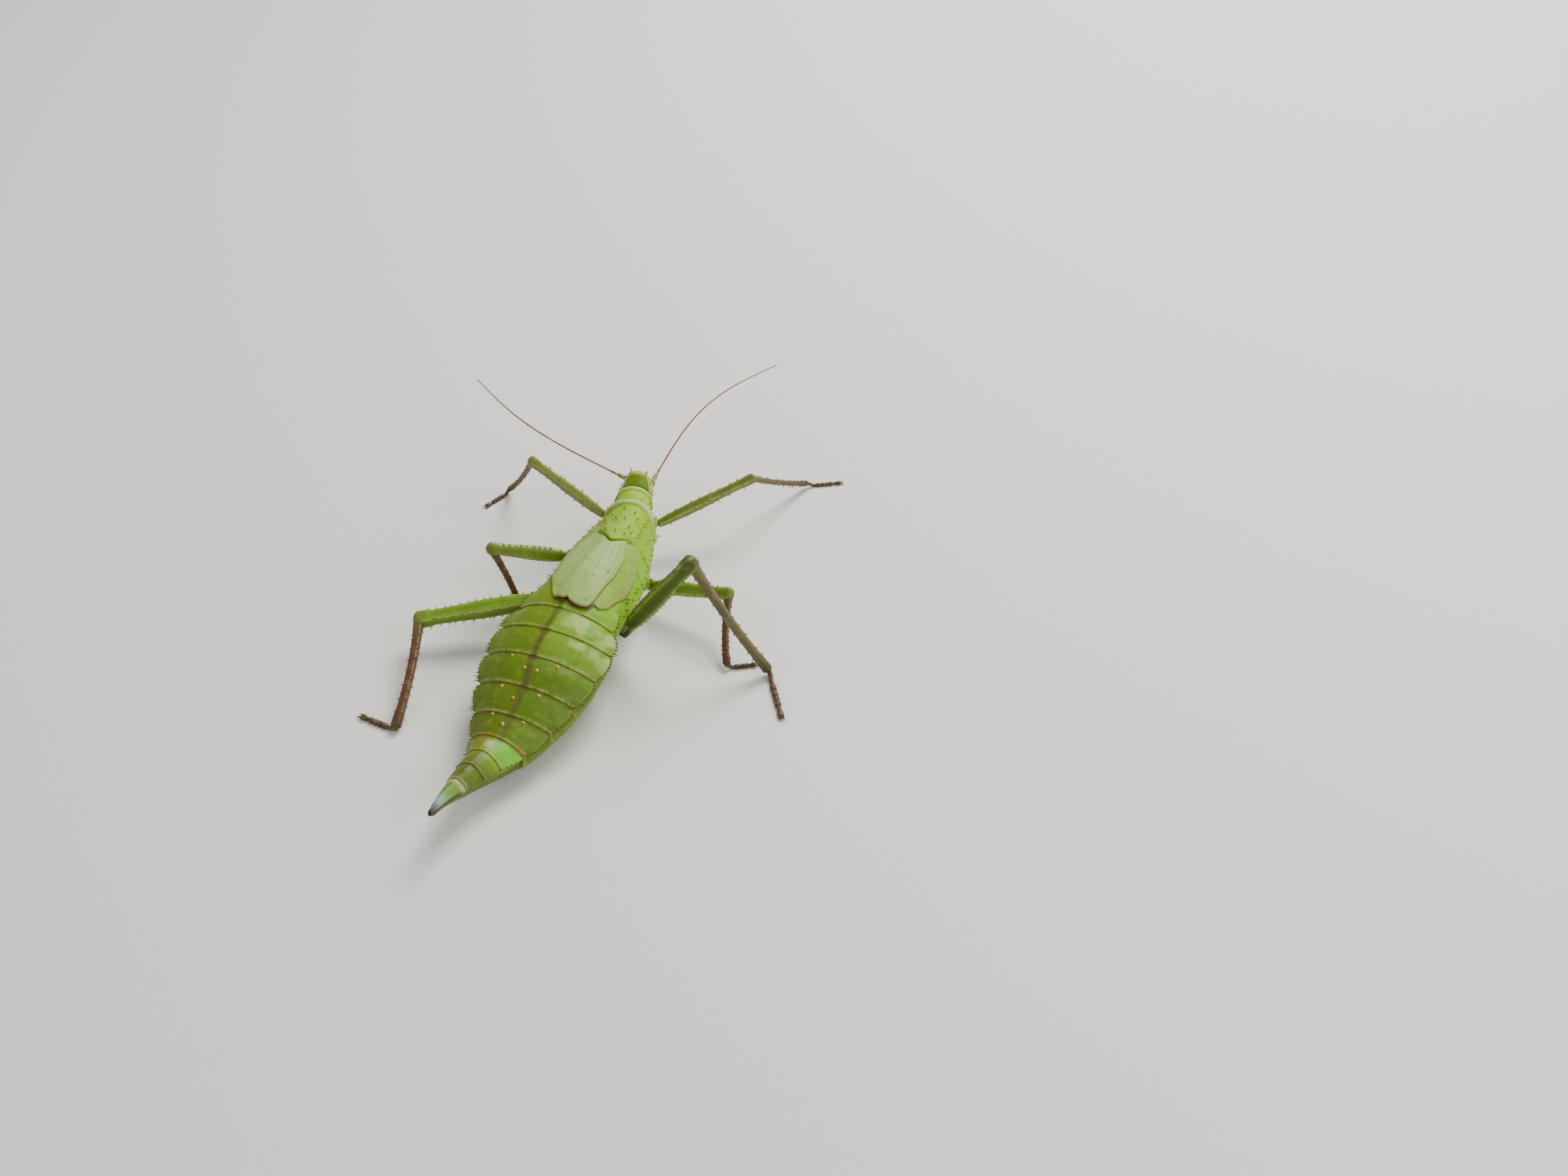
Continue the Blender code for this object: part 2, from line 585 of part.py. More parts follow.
def build_antenna(name, side, head):
    """Scape and pedicel, then the whip, on a path that swings forward along its length."""
    station, lateral, height = ANTENNA_ROOT
    root = head_place(station, side * lateral, height)
    share = np.linspace(0, 1, 22) ** 1.25
    start, end = Vector(ANTENNA_START[side]).normalized(), Vector(ANTENNA_END[side]).normalized()
    points, here, last = [], root - start * MM, 0.0
    for step in share:
        here = here + start.lerp(end, ease(step, 0.1, 0.9)).normalized() * (step - last) * ANTENNA_LENGTH
        points.append(here)
        last = step
    away = share * ANTENNA_LENGTH / MM
    radii = smooth_through(away, (0, 3.5, 4.5, 6.5, 7.5, 40, 74), (0.85, 0.95, 0.6, 0.65, 0.48, 0.38, 0.27)) * MM
    return clear_of(tube(name, points, radii, 1), head)


def build_palp(name, side, head, jaws):
    """The longer feeler beside the jaws, bent forward and down."""
    turn = head_turn()
    bends = ((3.2, 2.9, -4.0), (2.4, 3.9, -5.6), (0.8, 4.0, -6.4), (-0.6, 3.2, -6.2))
    points = [head_place(station, side * lateral, height) for station, lateral, height in bends]
    palp = tube(name, points, millimetres(0.5, 0.5, 0.45, 0.3), 1)
    return clear_of(palp, head, jaws)


# Legs

LIMB_SIDES = 8


def limb_rings(points, half_widths, half_heights, side_axis, keel=0.0):
    """Rings along a limb: a rounded section whose four corners stand out as keels."""
    angles = 2 * math.pi * np.arange(LIMB_SIDES) / LIMB_SIDES
    reach = 1 + keel * np.where(np.arange(LIMB_SIDES) % 2 == 1, 1, -1)
    rings = []
    for i, point in enumerate(points):
        ahead = points[min(i + 1, len(points) - 1)] - points[max(i - 1, 0)]
        along = ahead / np.linalg.norm(ahead)
        side = side_axis - along * np.dot(side_axis, along)
        side = side / np.linalg.norm(side)
        over = np.cross(side, along)
        rings.append(point + np.outer(np.cos(angles) * reach * half_widths[i], side)
                     + np.outer(np.sin(angles) * reach * half_heights[i], over))
    return rings


def bar(start, end, shares, sag=None):
    """Points at the given shares of the way from start to end, bowed by sag at the middle."""
    shares = np.asarray(shares, float)[:, None]
    bow = np.zeros(3) if sag is None else sag
    return start + (end - start) * shares + 4 * shares * (1 - shares) * bow


def limb_thorns(start, end, radius, side_axis, rows, count, length, shares=(0.14, 0.9)):
    """Rows of thorns along a limb's keels. A row is the angle round the limb, in degrees."""
    along = (end - start) / np.linalg.norm(end - start)
    side = side_axis - along * np.dot(side_axis, along)
    side = side / np.linalg.norm(side)
    over = np.cross(side, along)
    made = []
    for row, degrees in enumerate(rows):
        out = side * math.cos(math.radians(degrees)) + over * math.sin(math.radians(degrees))
        for i in range(count):
            share = shares[0] + (shares[1] - shares[0]) * (i + 0.5 * (row % 2) + DRAW.uniform(0, 0.4)) / count
            place = start + (end - start) * share + out * radius * 0.93
            grow = length * DRAW.uniform(0.7, 1.3) * MM
            made.append(thorn(place, out + 0.45 * along, grow, 0.85 * MM))
    return made


def hip_place(name):
    """Where the femur starts: just outside the flank."""
    pair, word = name.split("_")
    side = 1 if word == "left" else -1
    station = np.array(HIP_STATIONS[pair] * MM)
    _, _, _, flank, flank_depth, _ = section_sizes(station, SECTIONS)
    drop = HIP_DROP[pair] * MM
    inner = on_body(station, side * (flank - 5.5 * MM), -flank_depth - 0.5 * drop)
    outer = on_body(station, side * (flank + HIP_OUT[pair] * MM), -flank_depth - drop)
    return inner, outer


def build_leg(name, body):
    """Coxa, femur, tibia and tarsus of one leg. Each is cut clear of what it grows from."""
    pair = name.split("_")[0]
    knee, ankle, toe = (millimetres(*place) for place in LEG_PLACES[name])
    inner, hip = hip_place(name)
    side_axis = np.cross(knee - hip, ankle - knee)
    side_axis = side_axis / np.linalg.norm(side_axis)
    parts = {"coxa": build_coxa(f"coxa_{name}", pair, inner, hip, side_axis, body)}
    parts["femur"] = build_femur(f"femur_{name}", pair, hip, knee, side_axis)
    clear_of(parts["femur"], parts["coxa"])
    parts["tibia"] = build_tibia(f"tibia_{name}", pair, knee, ankle, side_axis)
    clear_of(parts["tibia"], parts["femur"])
    parts["tarsus"] = build_tarsus(f"tarsus_{name}", pair, ankle, toe)
    clear_of(parts["tarsus"], parts["tibia"])
    flatten_feet(parts["tarsus"])
    thorn_leg(parts, pair, inner, hip, knee, ankle, side_axis)
    return {f"{part}_{name}": made for part, made in parts.items()}


def build_coxa(name, pair, inner, hip, side_axis, body):
    radius = COXA_RADIUS[pair] * MM
    shares = (0, 0.3, 0.55, 0.8, 0.96, 1.04)
    swell = np.array((1.0, 1.05, 1.0, 0.92, 0.72, 0.45)) * radius
    coxa = loft(name, limb_rings(bar(inner, hip, shares), swell, swell, side_axis))
    return clear_of(coxa, *body)


def build_femur(name, pair, hip, knee, side_axis):
    """Slim at the hip, deepest in its first half, with a rounded knee."""
    radius = FEMUR_RADIUS[pair] * MM
    end = 0.6 * radius / np.linalg.norm(knee - hip)
    shares = (0.0, 0.05, 0.12, 0.25, 0.45, 0.7, 0.86, 0.94, 1.0, 1 + 0.7 * end, 1 + 1.3 * end)
    width = np.array((0.6, 0.68, 0.74, 0.84, 0.86, 0.76, 0.74, 0.84, 0.84, 0.66, 0.3)) * radius
    depth = np.array((0.7, 0.8, 0.92, 1.06, 1.08, 0.92, 0.86, 0.98, 0.98, 0.74, 0.34)) * radius
    return loft(name, limb_rings(bar(hip, knee, shares), width, depth, side_axis, 0.07))


def build_tibia(name, pair, knee, ankle, side_axis):
    radius = TIBIA_RADIUS[pair] * MM
    shares = (0.0, 0.06, 0.14, 0.3, 0.55, 0.8, 0.93, 1.0)
    width = np.array((1.0, 1.05, 0.95, 0.86, 0.84, 0.86, 0.98, 1.0)) * radius
    bow = np.cross(side_axis, ankle - knee)
    bow = bow / np.linalg.norm(bow) * 0.9 * MM
    return loft(name, limb_rings(bar(knee, ankle, shares, bow), width, 1.08 * width, side_axis, 0.07))


def build_tarsus(name, pair, ankle, toe):
    """Five joints with pads, each ending in a wider lobe, then a pair of claws."""
    radius = TARSUS_RADIUS[pair] * MM
    shares, width = [-0.08, 0.05, 0.2], [0.9, 0.95, 0.8]
    for pad_end in (0.37, 0.49, 0.61, 0.73, 0.97):
        shares += [pad_end - 0.06, pad_end, pad_end + 0.03]
        width += [1.2, 1.2, 0.7]
    width = np.array(width) * radius
    points = bar(ankle, toe, shares)
    floor = radius * 0.76
    points[2:, 2] = floor
    points[:2, 2] = (ankle[2] + 0.1 * MM, ankle[2] - 0.3 * MM)
    up = np.array((0, 0, 1.0))
    foot = loft(name, limb_rings(points, width * 1.05, width * 0.98, np.cross(toe - ankle, up)))
    along = (toe - ankle) / np.linalg.norm(toe - ankle)
    across = np.cross(along, up)
    tip = points[-1] - along * 0.4 * MM
    claws = [thorn(tip + side * across * 0.3 * MM, along + side * 0.55 * across + (0, 0, -0.05), 2.2 * MM, 0.8 * MM)
             for side in (1, -1)]
    return combine(foot, claws, "UNION")


def thorn_leg(parts, pair, inner, hip, knee, ankle, side_axis):
    """Thorns along the keels of the femur and the edges of the tibia."""
    femur, tibia = FEMUR_RADIUS[pair] * MM, TIBIA_RADIUS[pair] * MM
    longest = {"front": 1.5, "mid": 1.6, "hind": 2.1}[pair]
    row = limb_thorns(hip, knee, femur, side_axis, (45, 135, 225, 315), 5, longest)
    combine(parts["femur"], row, "UNION")
    row = limb_thorns(knee, ankle, tibia, side_axis, (50, 130, 270), 3, longest * 0.9, (0.16, 0.85))
    combine(parts["tibia"], row, "UNION")


# Wings

WINGS = {
    1: {"inner": (-4.4, -6.6, -7.9, -8.0), "outer": (9.2, 11.8, 10.6, 6.2), "rear": 78.0, "rounding": 3.0},
    -1: {"inner": (-0.4, 1.2, 1.4, 1.2), "outer": (-7.6, -11.0, -12.4, -11.6), "rear": 78.2, "rounding": 3.2},
}


def wing_places(side):
    """Stations and lateral distances of a fore wing's grid, front to rear and across."""
    shape = WINGS[side]
    step = VEIN_HALF_WIDTH / (8 * MM)
    across = np.array([-1.0] + [vein + d for vein in WING_VEINS for d in (-step, 0, step)] + [1.0])
    along = np.linspace(0, 1, 9)[:, None]
    marks = (0, 0.3, 0.65, 1)
    inner = smooth_through(along, marks, shape["inner"]) * MM
    outer = smooth_through(along, marks, shape["outer"]) * MM
    lateral = inner + (outer - inner) * (across + 1) / 2
    front = shield_edge(lateral) + 1.5 * GAP
    rear = (shape["rear"] - shape["rounding"] * np.abs(across) ** 3) * MM
    return front + (rear - front) * along, lateral, across


def build_wing(name, side):
    """A leathery fore wing: a thin slab over the back, its veins raised in its own surface."""
    station, lateral, across = wing_places(side)
    lift = WING_CLEARANCE
    if side > 0:
        lift = lift + WING_STACK * (1 - ease(lateral, 1.8 * MM, 5 * MM))
    under = roof(station, lateral) + lift
    nearest = np.min(np.abs(across[:, None] - np.array(WING_VEINS)), axis=1)
    veins = VEIN_HEIGHT * (nearest < 1e-6)
    fade = np.linspace(1, 0.4, len(station))[:, None]
    over = under + WING_THICKNESS + veins * fade
    return slab(name, on_body(station, lateral, over), on_body(station, lateral, under))


# Assembly

def principled(name, colour, roughness=0.5):
    material = bpy.data.materials.new(name)
    material.use_nodes = True
    shader = material.node_tree.nodes["Principled BSDF"]
    shader.inputs["Base Color"].default_value = (*colour, 1)
    shader.inputs["Roughness"].default_value = roughness
    shader.inputs["Metallic"].default_value = 0
    return material


def colour_of(name):
    kinds = (("head", "head"), ("jaws", "coxa"), ("palp", "coxa"), ("eye", "eye"), ("antenna", "feeler"),
             ("tegmen", "wing"), ("abdomen", "back"), ("epiproct", "tail"), ("operculum", "tail"),
             ("coxa", "coxa"), ("femur", "femur"), ("tibia", "shin"), ("tarsus", "foot"))
    return next((kind for start, kind in kinds if name.startswith(start)), "thorax")


def set_down(parts):
    """Gives each piece its name, material and own origin, on a stand-in centred on the whole model."""
    corners = np.array([v.co for part in parts.values() for v in part.data.vertices])
    low, high = corners.min(axis=0), corners.max(axis=0)
    group = bpy.data.collections.new("stick_insect")
    bpy.context.scene.collection.children.link(group)
    base = bpy.data.objects.new("stick_insect", None)
    base.location = (-(low[0] + high[0]) / 2, -(low[1] + high[1]) / 2, 0)
    group.objects.link(base)
    for name, part in parts.items():
        bpy.context.scene.collection.objects.unlink(part)
        group.objects.link(part)
        part.name = name
        middle = sum((v.co for v in part.data.vertices), Vector()) / len(part.data.vertices)
        part.data.transform(Matrix.Translation(-middle))
        part.location = middle
        part.parent = base
        part.data.materials.clear()
        part.data.materials.append(principled(name, COLOURS[colour_of(name)]))


def main():
    for leftover in list(bpy.data.objects):
        bpy.data.objects.remove(leftover)
    body = build_body()
    parts = build_head()
    for name in LEG_PLACES:
        parts.update(build_leg(name, [body[near] for near in ("prothorax", "mesothorax", "metathorax", "abdomen_2")]))
    parts["tegmen_left"] = build_wing("tegmen_left", 1)
    parts["tegmen_right"] = build_wing("tegmen_right", -1)
    thorn_body(body)
    parts.update(body)
    set_down(parts)


DRAW = random.Random(11)
main()
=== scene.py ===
# %% [markdown]
# # A giant thorny stick insect
# The animal is an adult female jungle nymph, a bright green stick insect about 16 cm long, with a flat
# pointed abdomen, two short leathery wings and thorns along every edge. This script gives the
# finished look to a still model of it. The measured solids are loaded first as a fixed frame, and
# every new surface is worked out from the same named sizes, so that nothing has to be fitted.

import bpy
import numpy as np
from mathutils import Matrix, Vector


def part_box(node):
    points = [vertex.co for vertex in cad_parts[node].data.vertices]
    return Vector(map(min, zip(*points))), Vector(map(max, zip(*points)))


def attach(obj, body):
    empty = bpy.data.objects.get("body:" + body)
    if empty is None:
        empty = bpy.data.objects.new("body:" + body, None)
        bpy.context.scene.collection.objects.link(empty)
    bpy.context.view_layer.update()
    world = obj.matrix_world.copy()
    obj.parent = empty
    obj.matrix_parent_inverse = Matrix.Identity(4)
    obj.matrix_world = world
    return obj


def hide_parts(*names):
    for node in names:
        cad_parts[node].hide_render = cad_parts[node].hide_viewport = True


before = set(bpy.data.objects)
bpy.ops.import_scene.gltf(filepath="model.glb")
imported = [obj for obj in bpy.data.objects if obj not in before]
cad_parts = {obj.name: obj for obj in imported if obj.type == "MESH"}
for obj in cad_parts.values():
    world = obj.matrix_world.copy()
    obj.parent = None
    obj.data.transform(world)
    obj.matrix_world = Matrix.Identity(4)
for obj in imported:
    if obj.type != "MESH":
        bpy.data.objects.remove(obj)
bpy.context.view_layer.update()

print("solids in the frame:", len(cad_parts))

# %% [markdown]
# ## The body line
# An insect's body is a chain of rings along a bent line. A place on it is easiest to give in the
# body's own terms: the station, which is the distance back from the front of the head, the lateral
# distance, plus to the insect's left, and the height above the line through the side margins.
# Straight coordinates would be harder, as the pose twists the thorax and bends the tail. Yaw, pitch
# and roll are smooth functions of the station, and the line is their running sum.

# %% Sizes of the body line
MM = 0.001
GAP = 0.3                     # millimetres between two solids of the frame
BODY_LENGTH, LINE_STEP = 158.0, 0.25
REST_STATION, REST_HEIGHT = 100.0, 13.7
YAW = ((0, -18), (24, -19), (34, -6), (48, -5), (60, 1.5), (80, 1), (95, 0), (112, 0), (135, 7), (146, 5),
       (158, -8))
ROLL = ((0, 10), (40, 13), (50, 12), (75, 0), (158, 0))
HEAD_PITCH, THORAX_PITCH, ABDOMEN_PITCH, TAIL_PITCH = -30, -2.7, 14, -12.4
NECK_BEND, WAIST_BEND, TAIL_BEND = (9, 15.5), (55, 90), (115, 135)   # stations where the pitch changes
SIDES = {"left": 1, "right": -1}
print("the body line is", BODY_LENGTH, "mm long")

# %% Smooth steps and curves
def unit(vectors):
    """Each vector over its length."""
    vectors = np.asarray(vectors, float)
    return vectors / np.linalg.norm(vectors, axis=-1, keepdims=True)


def read_off(value, known, vectors):
    """The vectors at the known places, read off at the values along straight lines."""
    return np.stack([np.interp(value, known, vectors[:, k]) for k in range(3)], -1)


def ease(value, start, end):
    """A smooth step: 0 before start, 1 after end, and between them three squares less two cubes of t."""
    t = np.clip((value - start) / (end - start), 0, 1)
    return t * t * (3 - 2 * t)


def smooth_through(value, known, heights):
    """A cubic between each two known points. Its slope at a point is the harmonic mean of the rises
    before and after it, and 0 where they differ in sign, so it never overshoots.
    """
    known, heights = np.asarray(known, float), np.asarray(heights, float)
    rise = np.diff(heights) / np.diff(known)
    product = rise[:-1] * rise[1:]
    inner = np.where(product > 0, 2 * product / (rise[:-1] + rise[1:] + 1e-12), 0)
    slope = np.concatenate([rise[:1], inner, rise[-1:]])
    i = np.clip(np.searchsorted(known, value) - 1, 0, len(known) - 2)
    width = known[i + 1] - known[i]
    t = np.clip((value - known[i]) / width, 0, 1)
    start = (2 * t**3 - 3 * t**2 + 1) * heights[i] + (t**3 - 2 * t**2 + t) * width * slope[i]
    return start + (3 * t**2 - 2 * t**3) * heights[i + 1] + (t**3 - t**2) * width * slope[i + 1]


print("halfway up a smooth step:", ease(0.5, 0, 1))


# %% The line and places on it
def body_line():
    """Place and left, back and up directions at each station: the place is the sum of the back steps."""
    station = np.arange(0, BODY_LENGTH + 2 * LINE_STEP, LINE_STEP)
    yaw, roll = [np.radians(smooth_through(station, *np.transpose(table))) for table in (YAW, ROLL)]
    pitch = THORAX_PITCH + (HEAD_PITCH - THORAX_PITCH) * (1 - ease(station, *NECK_BEND))
    pitch = pitch + (ABDOMEN_PITCH - THORAX_PITCH) * ease(station, *WAIST_BEND)
    pitch = np.radians(pitch + (TAIL_PITCH - ABDOMEN_PITCH) * ease(station, *TAIL_BEND))
    back = np.stack([np.sin(yaw) * np.cos(pitch), np.cos(yaw) * np.cos(pitch), -np.sin(pitch)], 1)
    level = np.stack([np.cos(yaw), -np.sin(yaw), 0 * yaw], 1)
    left = level * np.cos(roll)[:, None] + np.cross(level, back) * np.sin(roll)[:, None]
    place = np.zeros_like(back)
    place[1:] = np.cumsum((back[1:] + back[:-1]) / 2 * LINE_STEP, axis=0)
    place += (0, 0, REST_HEIGHT) - place[np.searchsorted(station, REST_STATION)]
    return station, place, back, left, np.cross(left, back)


LINE = body_line()


def directions(station):
    """Unit vectors to the back, to the insect's left and up at a station, each read off the line."""
    return [read_off(station, LINE[0], vectors) for vectors in LINE[2:]]


def same_shape(*values):
    """The values as float arrays of one common shape."""
    return np.broadcast_arrays(*(np.asarray(value, float) for value in values))


def on_body(station, lateral, height):
    """The line's place, plus left times lateral, plus up times height, all in millimetres."""
    station, lateral, height = same_shape(station, lateral, height)
    _, left, up = directions(station)
    return read_off(station, LINE[0], LINE[1]) + left * lateral[..., None] + up * height[..., None]


print("line runs from", LINE[1][0].round(1), "to", LINE[1][-1].round(1))

# %% [markdown]
# ## Sections
# Each section has a roofed back plate, a sloping flank and a rounded belly. Six sizes at a few
# stations give the whole animal. A cubic runs between them, which keeps the outline smooth without
# a long list of points.

# %% Section tables and where one body ring ends
# station, half width of the plate, height of its margin, height of the crown, half width of the
# flank, depth of the flank, depth of the belly
SECTIONS = (
    (16.0, 4.6, 1.0, 3.2, 5.4, 2.5, 5.5),
    (20.0, 4.8, 1.2, 3.0, 6.2, 2.8, 6.0),
    (27.0, 6.0, 1.2, 4.2, 7.8, 3.2, 6.8),
    (33.0, 5.8, 2.6, 5.2, 9.8, 3.6, 7.4),
    (40.0, 5.8, 3.4, 6.0, 11.6, 4.2, 8.2),
    (47.0, 6.6, 3.4, 6.4, 13.0, 4.6, 9.0),
    (56.0, 8.2, 2.6, 6.2, 14.0, 4.8, 9.6),
    (64.0, 10.5, 1.4, 6.0, 14.6, 4.4, 10.0),
    (71.0, 13.2, 0.3, 5.9, 15.0, 3.8, 10.2),
    (79.6, 15.0, 0.0, 6.1, 14.6, 3.6, 10.6),
    (87.5, 17.2, 0.0, 6.5, 16.4, 3.8, 11.2),
    (97.0, 17.2, 0.0, 6.7, 16.4, 4.0, 12.8),
    (106.9, 15.2, 0.0, 6.0, 14.4, 4.0, 14.0),
    (116.2, 12.0, 0.0, 5.0, 11.2, 3.5, 11.7),
    (124.9, 8.6, 0.0, 4.4, 8.0, 2.8, 8.0),
    (132.0, 5.9, 0.0, 4.2, 5.6, 2.0, 5.8),
    (138.0, 4.6, 0.0, 3.5, 4.3, 1.5, 4.6),
    (144.0, 3.2, 0.0, 2.5, 3.0, 1.1, 3.5),
    (150.0, 1.8, 0.0, 1.7, 1.6, 0.6, 2.2),
    (158.0, 0.5, 0.0, 0.7, 0.4, 0.3, 0.9),
)
HEAD_SECTIONS = (
    (0.6, 1.8, 0.2, 1.0, 2.0, 0.6, 2.0),
    (2.0, 3.0, 0.4, 2.0, 3.2, 1.0, 4.0),
    (4.0, 4.1, 0.6, 3.0, 4.3, 1.6, 5.4),
    (6.5, 4.7, 0.8, 3.9, 5.2, 2.0, 6.2),
    (9.0, 4.3, 1.4, 4.6, 5.6, 2.4, 6.2),
    (11.3, 3.4, 3.6, 5.5, 5.7, 2.6, 6.0),
    (13.0, 2.8, 5.3, 6.0, 5.6, 2.6, 5.9),
    (14.4, 3.5, 3.2, 4.8, 5.4, 2.6, 5.7),
    (16.0, 4.4, 1.0, 3.0, 5.2, 2.4, 5.4),
)
NECK, METATHORAX_END = 15.4, 71.0
TERGITE_ENDS = (79.6, 87.5, 97.0, 106.9, 116.2, 124.9, 132.0, 138.0, 144.0)
TAIL_START, TAIL_TIP, OPERCULUM_END, TAIL_CUT = 124.9, 158.0, 156.0, 0.22
MARGIN_AT, FLANK_AT = 0.45, 0.65          # shares of the way round, from crown to keel
CROWN_POWER = 2.4
SCOOP_WIDTH, SCOOP_POWER = 0.9, 0.85      # share of the flank's width, and fullness of the half ellipse
print("widest back plate:", 2 * max(row[1] for row in SECTIONS), "mm")


# %% Sizes, back and scoop at a station
def sizes_at(station, table=SECTIONS):
    """The six section sizes at each station, by the cubic above."""
    columns = np.transpose(table)
    return [smooth_through(station, columns[0], column) for column in columns[1:]]


def roof(station, lateral):
    """Height of the back: the crown less a power of the lateral share, then the flank's straight slope."""
    plate, margin, crown, flank, depth, _ = sizes_at(station)
    away = np.abs(lateral)
    top = margin + (crown - margin) * (1 - np.clip(away / plate, 0, 1) ** CROWN_POWER)
    slope = margin - (margin + depth) * (away - plate) / np.maximum(flank - plate, 1)
    return np.where(away <= plate, top, slope)


def operculum_ring(station, angle):
    """The scoop under the tail: a half ellipse that hangs from the tail's cut."""
    _, _, _, flank, _, belly = sizes_at(station)
    cut = -TAIL_CUT * belly - GAP
    deep = (1 - TAIL_CUT) * belly
    low = cut - deep * np.abs(np.sin(angle)) ** SCOOP_POWER
    return on_body(station, SCOOP_WIDTH * flank * np.cos(angle), low)


print("height of the crown at station 90:", roof(90.0, 0.0).round(2), "mm")

# %% Where the frame stands on the floor
# The frame is centred on the floor. The scoop under the tail has a plain shape, so its box shows how
# far the body line has to be moved to lie in the frame.
scoop_low, scoop_high = (np.array(corner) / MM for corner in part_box("operculum"))
front_rim = operculum_ring(TAIL_START + GAP / 2, np.linspace(0, np.pi, 9))
back_rim = operculum_ring(OPERCULUM_END, np.linspace(0, np.pi, 9))
SHIFT = np.array([scoop_high[0] - front_rim[:, 0].max(), scoop_high[1] - back_rim[:, 1].max(), 0])
LINE[1][:] += SHIFT
print("body line moved by", SHIFT.round(3), "mm; other side off by",
      round(float(scoop_low[0] - front_rim[:, 0].min() - SHIFT[0]), 3))

# %% [markdown]
# ## Camera and stage
# The camera comes early, so that every piece is judged from the picture's own viewpoint: above and
# behind the insect, on its right. Its place and its three axes were worked out once from the body's
# landmarks. The floor is plain and pale. The light is one broad soft source from ahead, with two
# dimmer ones, from its right and from behind on its left, to open the shadows.

# %% Camera
CAMERA_PLACE = np.array([-181.4, 268.6, 334.3]) + SHIFT
CAMERA_RIGHT, CAMERA_UP = (-0.937, -0.350, -0.013), (0.227, -0.634, 0.740)
CAMERA_BACK = (-0.267, 0.690, 0.673)
FOCAL_PIXELS, PICTURE_WIDTH, SENSOR_WIDTH = 2189, 2212, 36.0

camera = bpy.data.objects.new("camera", bpy.data.cameras.new("camera"))
bpy.context.scene.collection.objects.link(camera)
bpy.context.scene.camera = camera
camera.rotation_mode = "QUATERNION"
camera.rotation_quaternion = Matrix((CAMERA_RIGHT, CAMERA_UP, CAMERA_BACK)).transposed().to_quaternion()
camera.location = CAMERA_PLACE * MM
camera.data.sensor_width = SENSOR_WIDTH
camera.data.lens = SENSOR_WIDTH * FOCAL_PIXELS / PICTURE_WIDTH
camera.data.clip_start, camera.data.clip_end = 0.01, 20
print("lens", round(camera.data.lens, 2), "mm")

# %% Lights and sky
# Place and size in metres, power in watts, and colour
LIGHTS = {"window": ((-0.15, -0.8, 0.85), 0.55, 16, (1.0, 0.98, 0.94)),
          "side": ((-0.8, 0.1, 0.5), 0.5, 3.5, (1.0, 0.99, 0.97)),
          "fill": ((0.5, 0.7, 0.6), 0.7, 1.5, (1.0, 0.97, 0.94))}
LIGHT_TARGET = Vector((0, 0, 0.01))
SKY_COLOUR, SKY_STRENGTH = (0.97, 0.98, 1.0, 1), 0.42


def area_light(name, place, size, power, colour):
    """A square soft light, turned so that its -Z axis points at the target."""
    light = bpy.data.objects.new(name, bpy.data.lights.new(name, "AREA"))
    light.data.size, light.data.energy, light.data.color = size, power, colour
    light.location = place
    light.rotation_euler = (LIGHT_TARGET - Vector(place)).to_track_quat("-Z", "Y").to_euler()
    bpy.context.scene.collection.objects.link(light)


for name, light in LIGHTS.items():
    area_light(name, *light)
sky = bpy.data.worlds.new("sky")
sky.use_nodes = True
sky.node_tree.nodes["Background"].inputs["Color"].default_value = SKY_COLOUR
sky.node_tree.nodes["Background"].inputs["Strength"].default_value = SKY_STRENGTH
bpy.context.scene.world = sky

# %% [markdown]
# ## Closed surfaces
# Every piece is a closed surface worked out as whole arrays of points. Most are tubes, which are rings
# of points along a path with a pole at either end. A modelling tool could have been used instead, but
# formulas keep each piece tied to the same sizes as the solids. A piece carries named values at its
# points, which the materials read later to know where on the animal they are.

# %% Closed tubes
DRAW = np.random.default_rng(11)


def angles_round(sides):
    """Equal steps round a circle, from 0 to just under 2 pi."""
    return 2 * np.pi * np.arange(sides) / sides


def tube_shape(rings, **values):
    """Closed tube over rings x columns points. The pole at each end is the mean of its end ring."""
    rings = np.asarray(rings, float)
    rows, columns = rings.shape[:2]
    points = np.concatenate([rings.reshape(-1, 3), [rings[0].mean(0), rings[-1].mean(0)]])
    i, j = np.mgrid[0:rows - 1, 0:columns]
    k = (j + 1) % columns
    quads = np.stack([i * columns + j, i * columns + k, (i + 1) * columns + k, (i + 1) * columns + j], -1)
    j, last = np.arange(columns), rows * columns
    k = (j + 1) % columns
    triangles = np.concatenate([np.stack([k, j, 0 * j + last], 1),
                                np.stack([last - columns + j, last - columns + k, 0 * j + last + 1], 1)])
    held = {}
    for name, value in values.items():
        value = np.broadcast_to(np.asarray(value, float), (rows, columns))
        held[name] = np.concatenate([value.ravel(), [value[0].mean(), value[-1].mean()]])
    return {"points": points, "quads": quads.reshape(-1, 4), "triangles": triangles, "values": held}


def ellipsoid_shape(centre, radii, axes=np.eye(3), rows=18, columns=24):
    """A ball stretched along three axes. The cosine and sine of the angle round it, each times the
    cosine of the angle up it, go along the first two axes, and the sine of the angle up along the third.
    """
    v = np.linspace(-np.pi / 2, np.pi / 2, rows + 2)[1:-1, None]
    u = angles_round(columns)[None, :]
    local = np.stack([np.cos(v) * np.cos(u), np.cos(v) * np.sin(u), np.sin(v) + 0 * u], -1) * radii
    return tube_shape(np.asarray(centre) + local @ np.asarray(axes))


print("points of a small ball:", len(ellipsoid_shape((0, 0, 0), (1, 1, 1))["points"]))


